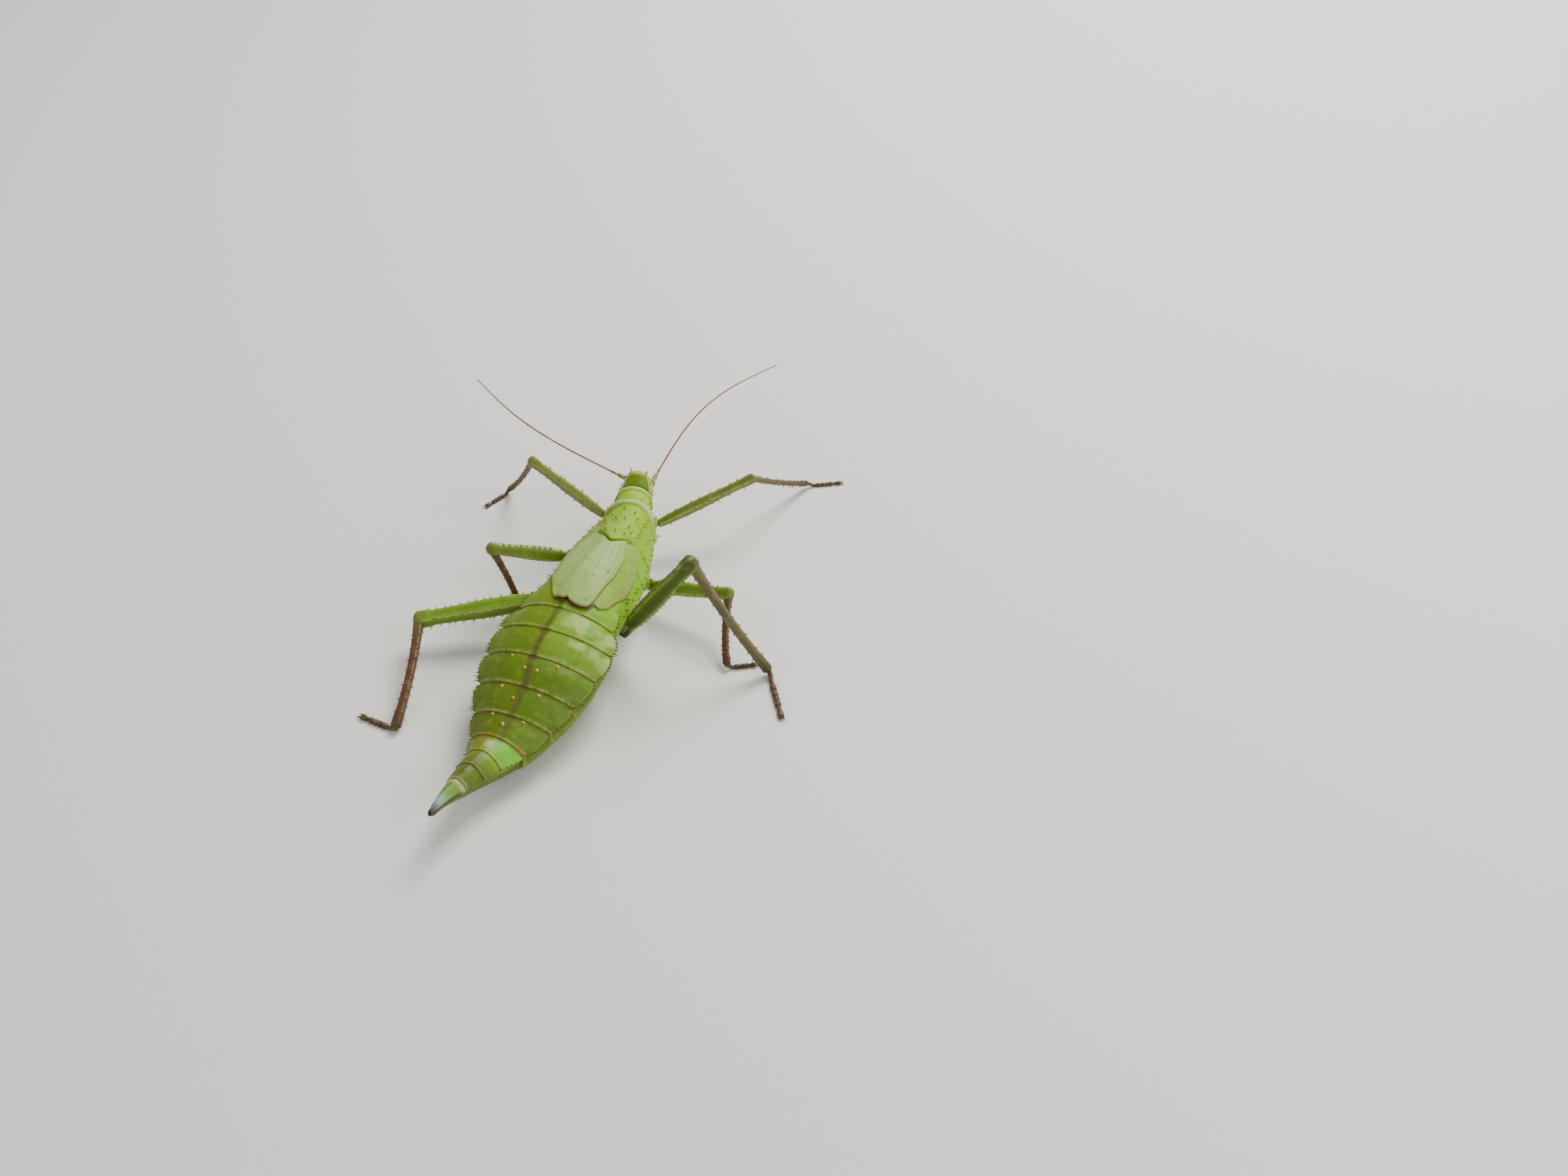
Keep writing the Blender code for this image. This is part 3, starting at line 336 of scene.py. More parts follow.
# %% Closed sheets, and several shapes as one
def slab_shape(over, under, **values):
    """Closed sheet between two grids of points, joined by a rim of quads."""
    rows, columns = over.shape[:2]
    count = rows * columns
    i, j = np.mgrid[0:rows - 1, 0:columns - 1]
    corner = i * columns + j
    top = np.stack([corner, corner + 1, corner + columns + 1, corner + columns], -1)
    index = np.arange(count).reshape(rows, columns)
    rim = np.concatenate([index[0, :-1], index[:-1, -1], index[-1, :0:-1], index[:0:-1, 0]])
    following = np.roll(rim, -1)
    sides = np.stack([following, rim, rim + count, following + count], 1)
    quads = np.concatenate([top.reshape(-1, 4), top.reshape(-1, 4)[:, ::-1] + count, sides])
    held = {name: np.tile(np.broadcast_to(value, (rows, columns)).ravel(), 2)
            for name, value in values.items()}
    return {"points": np.concatenate([over.reshape(-1, 3), under.reshape(-1, 3)]), "quads": quads,
            "triangles": np.zeros((0, 3), int), "values": held}


def join_shapes(shapes):
    """One shape out of several: the point numbers in the faces move up by the points before them."""
    first = np.cumsum([0] + [len(shape["points"]) for shape in shapes])
    joined = {"points": np.concatenate([shape["points"] for shape in shapes])}
    for key in ("quads", "triangles"):
        joined[key] = np.concatenate([shape[key] + n for shape, n in zip(shapes, first)])
    joined["values"] = {name: np.concatenate([shape["values"][name] for shape in shapes])
                        for name in shapes[0]["values"]}
    return joined


two_balls = join_shapes([ellipsoid_shape((0, 0, height), (1, 1, 1)) for height in (0, 3)])
print("points of two small balls in one shape:", len(two_balls["points"]))


# %% [markdown]
# A thorn of this insect is a curved cone with a wide foot. Each could be a cone with a bend modifier,
# but the model has more than eight hundred. One function therefore works out many at once, with a few
# dozen faces each.

# %% Spines
SPINE_RINGS = np.array([-0.3, 0.0, 0.14, 0.4, 0.7, 0.92, 1.0])   # shares of the length, the first inside


def spine_shape(places, outs, lengths, widths, bends=0, tints=0, sides=6):
    """Many curved cones at once. Each ring is moved from the place by its share of the length along the
    outward direction, and by that share squared along the bend. Its radius is half the width times what
    is left of the share to the power 0.9, and up to 1.7 times that at the foot, where it meets the skin.
    """
    places, outs = np.atleast_2d(places), np.atleast_2d(outs)
    count = len(places)
    lengths, widths, tints = (np.broadcast_to(np.asarray(v, float), count) for v in (lengths, widths, tints))
    bends = np.broadcast_to(np.asarray(bends, float), (count, 3))
    outs = unit(outs)
    helper = np.where(np.abs(outs[:, 2:]) < 0.9, [[0.0, 0, 1]], [[1.0, 0, 0]])
    side = unit(np.cross(outs, helper))
    over = np.cross(outs, side)
    t = SPINE_RINGS
    radius = (1 - np.clip(t, 0, 1)) ** 0.9 * (1 + 0.7 * np.exp(-(np.maximum(t, 0) / 0.1) ** 2)) + 0.02
    angle = angles_round(sides)
    round_way = side[:, None] * np.cos(angle)[None, :, None] + over[:, None] * np.sin(angle)[None, :, None]
    path = t[None, :, None] * outs[:, None] + (np.maximum(t, 0) ** 2)[None, :, None] * bends[:, None]
    centre = places[:, None] + lengths[:, None, None] * path
    rings = centre[:, :, None] + (widths[:, None] / 2 * radius)[:, :, None, None] * round_way[:, None]
    return join_shapes([tube_shape(ring, along=np.clip(t, 0, 1)[:, None], tint=tint)
                        for ring, tint in zip(rings, tints)])


print("points of a spine:", len(spine_shape((0, 0, 0), (0, 0, 1.0), 1, 0.2)["points"]))


# %% [markdown]
# A face looks to the side from which its corners run anticlockwise, so each surface has to be turned
# the right way out. The normals could be recalculated in edit mode. Here the volume tells: it is plus
# when the faces look outward.

# %% Pieces of the model
TRIANGLES = {}


def volume(points, triangles):
    """A sixth of the sum, over the triangles, of the dot product of one corner with the cross product
    of the other two. It is plus when the triangles look outward.
    """
    a, b, c = (points[triangles[:, k]] for k in range(3))
    return np.einsum("ij,ij->", a, np.cross(b, c)) / 6


def add_piece(name, shape, material, slot, *nodes):
    """Object of a shape, turned the right way out, that stands for the nodes of the frame."""
    points, quads, triangles = shape["points"], shape["quads"], shape["triangles"]
    split = np.concatenate([quads[:, :3], quads[:, [0, 2, 3]], triangles])
    held = volume(points, split)
    if held < 0:
        quads, triangles = quads[:, ::-1], triangles[:, ::-1]
    mesh = bpy.data.meshes.new(name)
    mesh.from_pydata((points * MM).tolist(), [], quads.tolist() + triangles.tolist())
    mesh.shade_smooth()
    for key, value in shape["values"].items():
        mesh.attributes.new(key, "FLOAT", "POINT").data.foreach_set("value", value.astype(np.float32))
    mesh.materials.append(material)
    piece = bpy.data.objects.new(name, mesh)
    bpy.context.scene.collection.objects.link(piece)
    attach(piece, "root")
    if nodes:
        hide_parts(*nodes)
    TRIANGLES[name] = len(split)
    print(f"{name}: {len(split)} triangles round {abs(held):.1f} cubic mm")


ball = ellipsoid_shape((0, 0, 0), (1, 1, 1), rows=60, columns=60)
corners = np.concatenate([ball["quads"][:, :3], ball["quads"][:, [0, 2, 3]], ball["triangles"]])
print(f"a ball of radius 1 holds {abs(volume(ball['points'], corners)):.2f}, and a true one 4.19")

# %% [markdown]
# ## Painting with nodes
# Colours on a real insect follow its plates: each back plate has a pale rear band, a brown joint line,
# deepened by painted shadow where the plate drops to the next, and a part of the stripe down the
# middle. The materials therefore read the station and the lateral distance that each point carries,
# and noise in object coordinates breaks up what would be too even.
# Painted image maps could do the same, but would need a separate unwrap of every piece.

# %% A short way to add nodes
def linear(*colour):
    """Scene-linear colour of display values 0 to 255, by the power 2.2."""
    return (*((np.array(colour) / 255) ** 2.2).tolist(), 1)


def as_linear(colour):
    """Three numbers are display values. Four numbers, or another node's output, stay as they are."""
    return linear(*colour) if isinstance(colour, tuple) and len(colour) == 3 else colour


class Paint:
    """Adds nodes to a tree. Each call returns the new node's output, ready to feed the next one."""

    def __init__(self, tree):
        self.tree = tree
        self.place = self.add("ShaderNodeVectorMath", {0: self.add("ShaderNodeTexCoord", output="Object"),
                                                       "Scale": 1 / MM}, operation="SCALE")

    def add(self, kind, inputs=None, output=0, **settings):
        """A new node with these settings. An input is linked to an output, or set to a value."""
        made = self.tree.nodes.new(kind)
        for name, value in settings.items():
            setattr(made, name, value)
        for key, value in (inputs or {}).items():
            if isinstance(value, bpy.types.NodeSocket):
                self.tree.links.new(value, made.inputs[key])
            else:
                made.inputs[key].default_value = value
        return made.outputs[output]

    def value(self, name):
        """The value that each point of the piece carries under this name."""
        return self.add("ShaderNodeAttribute", output="Fac", attribute_name=name)

    def maths(self, operation, a, b=0.0):
        """An operation on one value or two."""
        return self.add("ShaderNodeMath", {0: a, 1: b}, operation=operation)

    def times(self, product, *factors):
        """The product of all the values."""
        for factor in factors:
            product = self.maths("MULTIPLY", product, factor)
        return product

    def step(self, value, start, end):
        """Smooth step that is 0 at start and 1 at end, which may be the smaller of the two."""
        return self.add("ShaderNodeMapRange", {"Value": value, "From Min": start, "From Max": end},
                        interpolation_type="SMOOTHSTEP")

    def near(self, value, centre, far, close):
        """Smooth step of the distance from a centre: 0 from far outward, 1 from close inward."""
        return self.step(self.maths("ABSOLUTE", self.maths("SUBTRACT", value, centre)), far, close)

    def mix(self, share, a, b, blend="MIX"):
        """In each channel, a plus the share of the way to b, or to a times b if the blend says so."""
        return self.add("ShaderNodeMix", {0: share, 6: as_linear(a), 7: as_linear(b)}, 2, data_type="RGBA",
                        blend_type=blend)

    def cover(self, under, colour, *shares):
        """A colour laid over another as thickly as the product of the shares."""
        return self.mix(self.times(*shares), under, colour)

    def noise(self, scale, detail, stretch=(1, 1, 1)):
        """Noise with this many features a millimetre, stretched along the world's axes."""
        moved = self.add("ShaderNodeVectorMath", {0: self.place, 1: stretch}, operation="MULTIPLY")
        return self.add("ShaderNodeTexNoise", {"Vector": moved, "Scale": scale, "Detail": detail}, "Fac")

    def ramp(self, value, length, *stops):
        """Colours along a value. Each stop is a place from 0 to the length, and three display values."""
        share = self.add("ShaderNodeMapRange", {"Value": value, "From Min": 0.0, "From Max": length})
        made = self.tree.nodes.new("ShaderNodeValToRGB")
        self.tree.links.new(share, made.inputs[0])
        elements = made.color_ramp.elements
        while len(elements) < len(stops):
            elements.new(0.5)
        for element, (place, *colour) in zip(elements, stops):
            element.position, element.color = place / length, linear(*colour)
        return made.outputs[0]


print("display grey 128 is", round(linear(128)[0], 3), "in scene-linear light")

# %% [markdown]
# The horny skin itself, the cuticle, is alike all over: it is finely mottled, has pores like orange
# peel, and a soft sheen that changes from spot to spot. It is one node group, which every green or
# brown material shares, so that a change to it shows everywhere at once. The creases and dents of the
# back are added to its height in the back's own material.

# %% The cuticle group
BLOTCHES, MOTTLES, PORES = 0.35, 2.2, 2.6         # features a millimetre
SMOOTHEST, ROUGHEST = 0.4, 0.58                   # roughness of the skin from spot to spot


def cuticle_group():
    """Takes a colour, and gives the mottled colour, the roughness and a height for bump."""
    group = bpy.data.node_groups.new("cuticle", "ShaderNodeTree")
    group.interface.new_socket("Colour", in_out="INPUT", socket_type="NodeSocketColor")
    for name, kind in (("Colour", "Color"), ("Roughness", "Float"), ("Height", "Float")):
        group.interface.new_socket(name, in_out="OUTPUT", socket_type="NodeSocket" + kind)
    paint = Paint(group)
    base = group.nodes.new("NodeGroupInput").outputs[0]
    blotch, fine = paint.noise(BLOTCHES, 3), paint.noise(MOTTLES, 3)
    pores = paint.add("ShaderNodeTexVoronoi", {"Vector": paint.place, "Scale": PORES}, "Distance")
    dark = paint.mix(0.5, base, (0.5, 0.42, 0.3, 1), "MULTIPLY")
    light = paint.mix(0.16, base, (0.75, 0.95, 0.2, 1))
    colour = paint.cover(base, dark, paint.step(blotch, 0.5, 0.3), 0.45)
    colour = paint.cover(colour, light, paint.step(blotch, 0.52, 0.78), 0.5)
    colour = paint.cover(colour, dark, paint.step(fine, 0.6, 0.36), 0.35)
    height = paint.maths("ADD", paint.times(fine, 0.28), paint.times(pores, 0.12))
    rough = paint.add("ShaderNodeMapRange", {"Value": fine, "To Min": SMOOTHEST, "To Max": ROUGHEST})
    out = group.nodes.new("NodeGroupOutput")
    for k, value in enumerate((colour, rough, height)):
        group.links.new(value, out.inputs[k])
    return group


CUTICLE = cuticle_group()
print("nodes in the cuticle group:", len(CUTICLE.nodes))


# %% [markdown]
# Each green or brown part has a material of its own, which differs only in its colouring, in how deep
# its bump is and in how strong its coat is. One function builds them all, and takes the colouring as a
# function, so that no part's nodes have to be drawn twice.

# %% A material of the cuticle
COAT_ROUGHNESS, SHINE = 0.3, 0.3


def cuticle_material(name, colouring, bump=0.00006, coat=0.1, relief_of=None):
    """Material of the cuticle over a colouring, which is a function from a Paint to a colour output."""
    made = bpy.data.materials.new(name)
    made.use_nodes = True
    paint = Paint(made.node_tree)
    group = made.node_tree.nodes.new("ShaderNodeGroup")
    group.node_tree = CUTICLE
    made.node_tree.links.new(colouring(paint), group.inputs[0])
    shader = made.node_tree.nodes["Principled BSDF"]
    made.node_tree.links.new(group.outputs["Colour"], shader.inputs["Base Color"])
    made.node_tree.links.new(group.outputs["Roughness"], shader.inputs["Roughness"])
    height = group.outputs["Height"]
    if relief_of:
        height = paint.maths("ADD", height, relief_of(paint))
    bumped = paint.add("ShaderNodeBump", {"Height": height, "Distance": bump, "Strength": 1.0}, "Normal")
    made.node_tree.links.new(bumped, shader.inputs["Normal"])
    shader.inputs["Coat Weight"].default_value = coat
    shader.inputs["Coat Roughness"].default_value = COAT_ROUGHNESS
    shader.inputs["Specular IOR Level"].default_value = SHINE
    return made


def plain(*colour):
    """A colouring of one colour, a seventh darker in wide blots."""
    return lambda paint: paint.mix(paint.step(paint.noise(0.5, 2), 0.35, 0.65), colour,
                                   tuple(np.array(colour) * 0.86))


TAIL = cuticle_material("tail", plain(104, 112, 36))
MOUTH = cuticle_material("mouthparts", plain(160, 168, 104))
# The hind wing's brown is its own reddish colour, darkened by painted shade under the fore wings' edge.
HIND_WING = cuticle_material("hind wing", plain(124, 82, 62), 0.00005)
print("nodes in the tail's material:", len(TAIL.node_tree.nodes))

# %% [markdown]
# The back is painted from head to tail: lime on the thorax, olive and yellow-green on the abdomen, and
# brighter again on the plate that starts the tail, whose last plate is bluish with dark edges. The
# insect's right side is painted lighter, partly its own colour and partly painted light falling on that
# side. Over this lie pale patches, partly painted sheen, the rear bands of the plates, the brown joint
# lines between them, deepened by painted shadow under each plate's lip, and the stripe down the middle.

# %% Colours of the back
# Each entry is a station and three display values from 0 to 255
# The right side's stops are lighter than the left's: partly its own colour and partly painted light.
RIGHT_SIDE = ((0, 150, 194, 30), (32, 138, 186, 3), (70.4, 116, 172, 3), (88, 112, 154, 4),
              (102.4, 86, 114, 1), (124, 92, 118, 2), (126.4, 108, 190, 24), (131.2, 114, 182, 30),
              (133.6, 110, 136, 14), (137.6, 80, 104, 2), (143.2, 86, 110, 2), (144.6, 190, 198, 130),
              (145.9, 104, 142, 30), (149.6, 112, 154, 62), (152.8, 150, 182, 160),
              (155.2, 96, 104, 102), (157.6, 50, 44, 42))
LEFT_SIDE = ((0, 144, 186, 24), (32, 128, 174, 3), (72, 110, 140, 4), (96, 94, 120, 1), (124, 92, 110, 2),
             (128, 112, 122, 16), (132.8, 108, 126, 14), (137.6, 86, 108, 3), (143.2, 92, 112, 5),
             (144.6, 190, 196, 126), (145.9, 96, 126, 26), (149.6, 100, 134, 52), (152.8, 138, 164, 144),
             (155.2, 88, 94, 92), (157.6, 50, 44, 42))
print("colour stops on the right and left side:", len(RIGHT_SIDE), len(LEFT_SIDE))


# %% Layers of colour on the back
def back_ground(paint, station, lateral):
    """The two sides' colours, the right lighter partly by painted light, with pale patches on the right of
    the first plates, partly painted sheen, and near the tail.
    """
    colour = paint.mix(paint.step(lateral, -3.0, 3.0), paint.ramp(station, 160, *RIGHT_SIDE),
                       paint.ramp(station, 160, *LEFT_SIDE))
    # Pale patches on the right of the first plates: partly mottling and partly a painted sheen.
    patch_and_sheen = paint.times(paint.step(paint.noise(0.14, 2), 0.47, 0.62), paint.step(station, 72, 80),
                        paint.step(station, 100, 88), paint.step(lateral, 1.0, -6.0))
    colour = paint.cover(colour, (190, 214, 128), patch_and_sheen, 0.5)
    saddle = paint.times(paint.near(station, 128.2, 2.4, 0.6), paint.near(lateral, -0.4, 2.6, 0.8))
    return paint.cover(colour, (202, 202, 160), saddle, 0.6)


def back_sides(paint, colour, station, around):
    """A light fold inside the margin, the pale rolled rims, the flank, darker on the abdomen as painted
    shade under the margin, the belly and the seams.
    """
    fold = paint.times(paint.near(around, 0.392, 0.022, 0.006), paint.step(station, 78, 84),
                       paint.step(station, 128, 122))
    colour = paint.cover(colour, (172, 184, 60), fold, 0.14)
    colour = paint.cover(colour, (196, 206, 134), paint.step(paint.value("rim"), 0.15, 0.7), 0.75)
    # The flank is lime on the thorax and darker on the abdomen, where the darkness is painted shade under
    # the overhanging margin.
    flank = paint.mix(paint.step(station, 66, 76), (126, 178, 12), (92, 122, 14))
    colour = paint.cover(colour, flank, paint.step(around, 0.455, 0.5), 0.6)
    colour = paint.cover(colour, (112, 140, 30), paint.step(around, 0.62, 0.72), 0.8)
    return paint.cover(colour, (92, 110, 20), paint.value("seam"), 0.5)


def back_lines(paint, colour, station):
    """Rear bands, joint lines with painted shadow under each plate's lip, rust before the tail, and the
    stripe, which widens at the joints.
    """
    to_rear, from_front = paint.value("to_rear"), paint.value("from_front")
    band = paint.times(paint.step(to_rear, 1.2, 0.6), 0.48, paint.step(paint.noise(0.9, 2), 0.3, 0.62),
                       paint.step(station, 150, 125))
    colour = paint.cover(colour, (178, 172, 92), band)
    # Joint line: the joint's own brown, and painted shadow on the step down and just under the lip in front.
    joint = paint.maths("MAXIMUM", paint.step(to_rear, 0.12, 0.04), paint.step(from_front, 0.28, 0.06))
    colour = paint.cover(colour, (104, 74, 30), joint, 0.7)
    rust = paint.times(paint.near(station, TAIL_START, 0.9, 0.2), paint.step(paint.noise(0.5, 2), 0.42, 0.6))
    colour = paint.cover(colour, (166, 88, 36), rust, 0.55)
    ragged = paint.maths("ADD", paint.maths("ABSOLUTE", paint.value("off_stripe")), paint.noise(0.8, 2))
    ragged = paint.maths("SUBTRACT", ragged, paint.times(paint.step(from_front, 2.6, 0.4), 0.7))
    return paint.cover(colour, (82, 68, 34), paint.step(ragged, 2.1, 0.8), paint.value("stripe"))


def back_colour(paint):
    """The colouring of the whole back, with the dark edges of the tail and the brown margin on top."""
    station, lateral, around = paint.value("station"), paint.value("lateral"), paint.value("around")
    colour = back_sides(paint, back_ground(paint, station, lateral), station, around)
    colour = back_lines(paint, colour, station)
    tail_edge = paint.times(paint.step(around, 0.3, 0.4), paint.step(station, 144.2, 147))
    colour = paint.cover(colour, (56, 46, 38), tail_edge, 0.9)
    margin = paint.times(paint.near(around, MARGIN_AT, 0.022, 0.004), paint.step(station, 71, 76))
    return paint.cover(colour, (96, 66, 30), margin, 0.75)


def back_relief(paint):
    """Shallow dents and soft creases, flat again at each plate's rear band."""
    dents = paint.maths("ADD", paint.noise(0.2, 1), paint.times(paint.noise(0.5, 1, (0.6, 1.5, 1)), 0.3))
    return paint.times(dents, paint.step(paint.value("to_rear"), 0.4, 2.5), 2.5)


SKIN = cuticle_material("body cuticle", back_colour, 0.00014, 0.03, back_relief)
print("nodes that paint the back:", len(SKIN.node_tree.nodes))


# %% [markdown]
# The head is lime like the thorax, with painted shade on the slope behind its crest and a painted
# highlight on the crest's top. A fore wing is pale silk with paler veins, and the upper one is paler
# still, partly its own colour and partly painted sheen. A painted image of a wing could slip off the
# ridges of its mesh, so the mesh tells the material where each vein, rim and speck is.

# %% Colours of the head and wings
def head_colour(paint):
    """Lime, with painted shade on the slope behind the crest, a painted highlight on the crest's top and a
    paler face below.
    """
    # The light stop at 13.1 mm is a painted highlight on the crest's top, the dark one at 13.9 mm painted
    # shade on its rear slope.
    colour = paint.ramp(paint.value("station"), 17, (0, 160, 178, 60), (6.8, 140, 174, 24),
                        (11.9, 136, 178, 16), (13.1, 150, 190, 24), (13.9, 104, 128, 10), (17, 118, 146, 14))
    return paint.cover(colour, (160, 186, 104), paint.step(paint.value("around"), 0.5, 0.7), 0.6)


def wing_colour(paint):
    """Pale silk between the veins, olive toward the outer and rear edges, greener on the lower wing. The
    upper wing's paler silk is partly its own colour and partly painted sheen.
    """
    # The upper wing is paler than the lower: partly its own colour and partly a painted sheen.
    colour = paint.mix(paint.value("upper"), (130, 176, 22), (148, 184, 92))
    colour = paint.cover(colour, (186, 206, 150), paint.value("vein"), 0.22)
    cloud = paint.step(paint.noise(0.4, 3, (1, 0.3, 1)), 0.5, 0.72)
    colour = paint.cover(colour, (150, 168, 88), cloud, 0.35)
    colour = paint.cover(colour, (142, 162, 66), paint.step(paint.value("across"), 0.62, 0.8), 0.75)
    rear = paint.times(paint.step(paint.value("along"), 0.45, 0.95),
                       paint.step(paint.noise(0.25, 2), 0.25, 0.6))
    colour = paint.cover(colour, (128, 154, 42), rear, 0.65)
    colour = paint.cover(colour, (132, 124, 70), paint.step(paint.value("rim"), 0.03, 0.008), 0.6)
    return paint.cover(colour, (46, 40, 24), paint.value("speck"))


HEAD = cuticle_material("head cuticle", head_colour)
WING = cuticle_material("fore wing", wing_colour, 0.00008, 0.05)
print("nodes that paint a fore wing:", len(WING.node_tree.nodes))


# %% [markdown]
# The legs go from green femora, olive in front, to brown tibiae and dark feet. No two legs are quite
# alike in life, and some, the hind right one most, lie in shade, which is painted into their colour.
# Six materials would do it, but each limb carries its own tone and painted shade instead, and one
# material serves all six.

# %% Colours of the legs
def femur_colour(paint):
    """Green, olive on the front legs, with pale keels that are partly painted highlight, painted shade in
    the hollows and over a shaded leg, a dark root, and a brownish knee, darker on a shaded leg.
    """
    shade, keel, along = paint.value("shade"), paint.value("keel"), paint.value("along")
    colour = paint.mix(paint.value("tone"), (120, 127, 46), (108, 146, 18))
    # Painted shade in the hollows between the keels, and pale keels, partly their own colour and partly
    # painted highlight.
    colour = paint.cover(colour, (70, 96, 10), paint.step(keel, 0.35, 0.0), 0.4)
    colour = paint.cover(colour, (176, 188, 100), paint.step(keel, 0.72, 1.0), 0.62)
    # Painted shade over a femur that lies in shadow, deepest in its hollows and on the knee.
    colour = paint.cover(colour, (84, 104, 10), shade, 0.45)
    colour = paint.cover(colour, (50, 64, 12), shade, paint.step(keel, 1.0, 0.3), 0.75)
    colour = paint.cover(colour, (62, 48, 24), paint.step(along, 0.03, -0.07), 0.85)
    knee = paint.mix(shade, (112, 106, 46), (72, 64, 36))
    return paint.cover(colour, knee, paint.step(along, 0.92, 1.0), 0.65)


def coxa_colour(paint):
    """Pale green, or dark green as painted shade where the shade value is 1, with brown blots at the hip."""
    colour = paint.mix(paint.value("shade"), (142, 172, 62), (74, 92, 22))
    return paint.cover(colour, (78, 58, 34), paint.step(paint.value("along"), 0.45, 0.9),
                       paint.step(paint.noise(0.8, 2), 0.45, 0.6), 0.6)


def shin_colour(paint):
    """Brown with a green-grey cast toward the knee, paler along the keels, darker at the ankle."""
    keel, along = paint.value("keel"), paint.value("along")
    colour = paint.mix(paint.value("tone"), (88, 50, 26), (98, 88, 60))
    colour = paint.cover(colour, (138, 118, 78), paint.step(keel, 0.72, 0.98), 0.22)
    colour = paint.cover(colour, (104, 112, 58), paint.step(along, 0.25, 0.0), 0.5)
    return paint.cover(colour, (64, 48, 34), paint.step(along, 0.8, 1.0), 0.6)


def foot_colour(paint):
    """Two browns in small blots."""
    return paint.mix(paint.step(paint.noise(0.9, 2), 0.4, 0.65), (74, 54, 38), (104, 82, 56))


FEMUR = cuticle_material("femur", femur_colour)
SHIN = cuticle_material("shin", shin_colour)
FOOT = cuticle_material("foot", foot_colour)
COXA = cuticle_material("coxa", coxa_colour)
print("nodes that paint a femur:", len(FEMUR.node_tree.nodes))


# %% [markdown]
# The dots on the abdomen and the spines of the head are orange with a pale root, the spines on the
# edges and legs are brown, and those on the thorax lie between the two. One material does all, through
# a tint that each spine carries. The eye alone is glossy. Its facets are too small to model, so they
# are cells in the bump.

# %% Colours of the spines, feelers and eyes
def spine_colour(paint):
    """From the root to the tip: tint 0 is green to dark brown, tint 1 is pale root, orange and pale tip."""
    along = paint.value("along")
    dark = paint.ramp(along, 1, (0, 104, 112, 34), (0.14, 96, 74, 34), (0.4, 70, 40, 22),
                      (1, 30, 18, 12))
    warm = paint.ramp(along, 1, (0, 206, 206, 128), (0.16, 214, 176, 84), (0.34, 206, 100, 38),
                      (0.8, 186, 66, 34), (1, 226, 176, 140))
    return paint.mix(paint.value("tint"), dark, warm)


def feeler_colour(paint):
    """Pale at the root, reddish and then brown, with a dark ring at each joint."""
    colour = paint.ramp(paint.value("along"), 1, (0, 176, 180, 104), (0.07, 166, 142, 92),
                        (0.16, 146, 88, 66), (1, 92, 70, 56))
    return paint.cover(colour, (62, 42, 32), paint.step(paint.value("ring"), 0.5, 0.15), 0.5)


SPINE = cuticle_material("spine", spine_colour, 0.00003, 0.2)
FEELER = cuticle_material("feeler", feeler_colour, 0.00003)


FACETS, FACET_DEPTH = 7.0, 0.00004                # facets a millimetre, and their depth in metres
EYE_ROUGHNESS, EYE_COAT = 0.22, 0.8


def eye_material():
    """A brown faceted dome: the facets are cells in the bump, under a clear glossy coat."""
    made = bpy.data.materials.new("eye")
    made.use_nodes = True
    paint = Paint(made.node_tree)
    shader = made.node_tree.nodes["Principled BSDF"]
    cells = paint.add("ShaderNodeTexVoronoi", {"Vector": paint.place, "Scale": FACETS}, "Distance")
    colour = paint.mix(paint.step(paint.noise(1.2, 2), 0.42, 0.6), (92, 60, 32), (150, 118, 66))
    made.node_tree.links.new(colour, shader.inputs["Base Color"])
    bumped = paint.add("ShaderNodeBump", {"Height": cells, "Distance": FACET_DEPTH}, "Normal")
    made.node_tree.links.new(bumped, shader.inputs["Normal"])
    shader.inputs["Roughness"].default_value = EYE_ROUGHNESS
    shader.inputs["Coat Weight"].default_value = EYE_COAT
    return made


EYE = eye_material()
print("materials:", len(bpy.data.materials))

# %% [markdown]
# ## The skin of the body
# The thorax and abdomen wear one skin, since in life soft folds join their plates. Each back plate
# climbs slowly toward its rear edge and drops to the next plate, as roof tiles do. The back of the
# middle thorax has a raised V, two rims cross the first plate, and every spine on the side margin
# stands on a small tooth.

# %% Sizes of the relief
# Rims of the first plate: station, half width, height, and how far each side bends back, per mm
RIMS = ((17.6, 0.95, 0.6, 0.012, 0.02), (26.6, 1.35, 1.15, 0.012, 0.052))
PLATE_ENDS = np.array([METATHORAX_END, *TERGITE_ENDS, TAIL_TIP])
PLATE_SPINES = (6, 8, 11, 11, 11, 9, 6, 4, 3)          # on one side margin of each plate
SHIELD_APEX, SHIELD_HALF, SHIELD_HEIGHT, SHIELD_POINT = 51.0, 5.8, 2.3, 1.0
FLANK_SEAMS = np.array((29.3, 44.0, 52.0, 69.5))    # slanting grooves down the sides of the thorax
FULL_RIGHT, FULL_AT = 0.075, 87        # the right side is fuller by this share near this station
ABDOMEN_FROM, ABDOMEN_TO = (71, 74), (122, 134)         # stations where its forms fade in and out
PLATE_CLIMB, PLATE_LIP, PLATE_DROP = 0.26, 0.1, 0.22    # two heights, and the length of the drop
RIDGE_HEIGHT, RIDGE_HALF, RIDGE_FROM = 0.2, 0.6, 60     # down the middle of the back
FOLD_AT, FOLD_HEIGHT = 0.39, 0.07                       # a raised fold inside the side margin
CREASES, CREASE_HEIGHT = 11, 0.035                      # radians of the wave along one plate, and height
BULGE, INSET, EDGE = 1.2, 0.5, 0.1                      # how far the margin swings out, in, and stands
TOOTH_HEIGHT, TOOTH_HALF, UNDERCUT = 0.42, 0.42, 0.5    # teeth on the margin, and the fold below it
BELLY_GROOVE, BELLY_GROOVE_HALF = 0.35, 0.35            # at the joints underneath
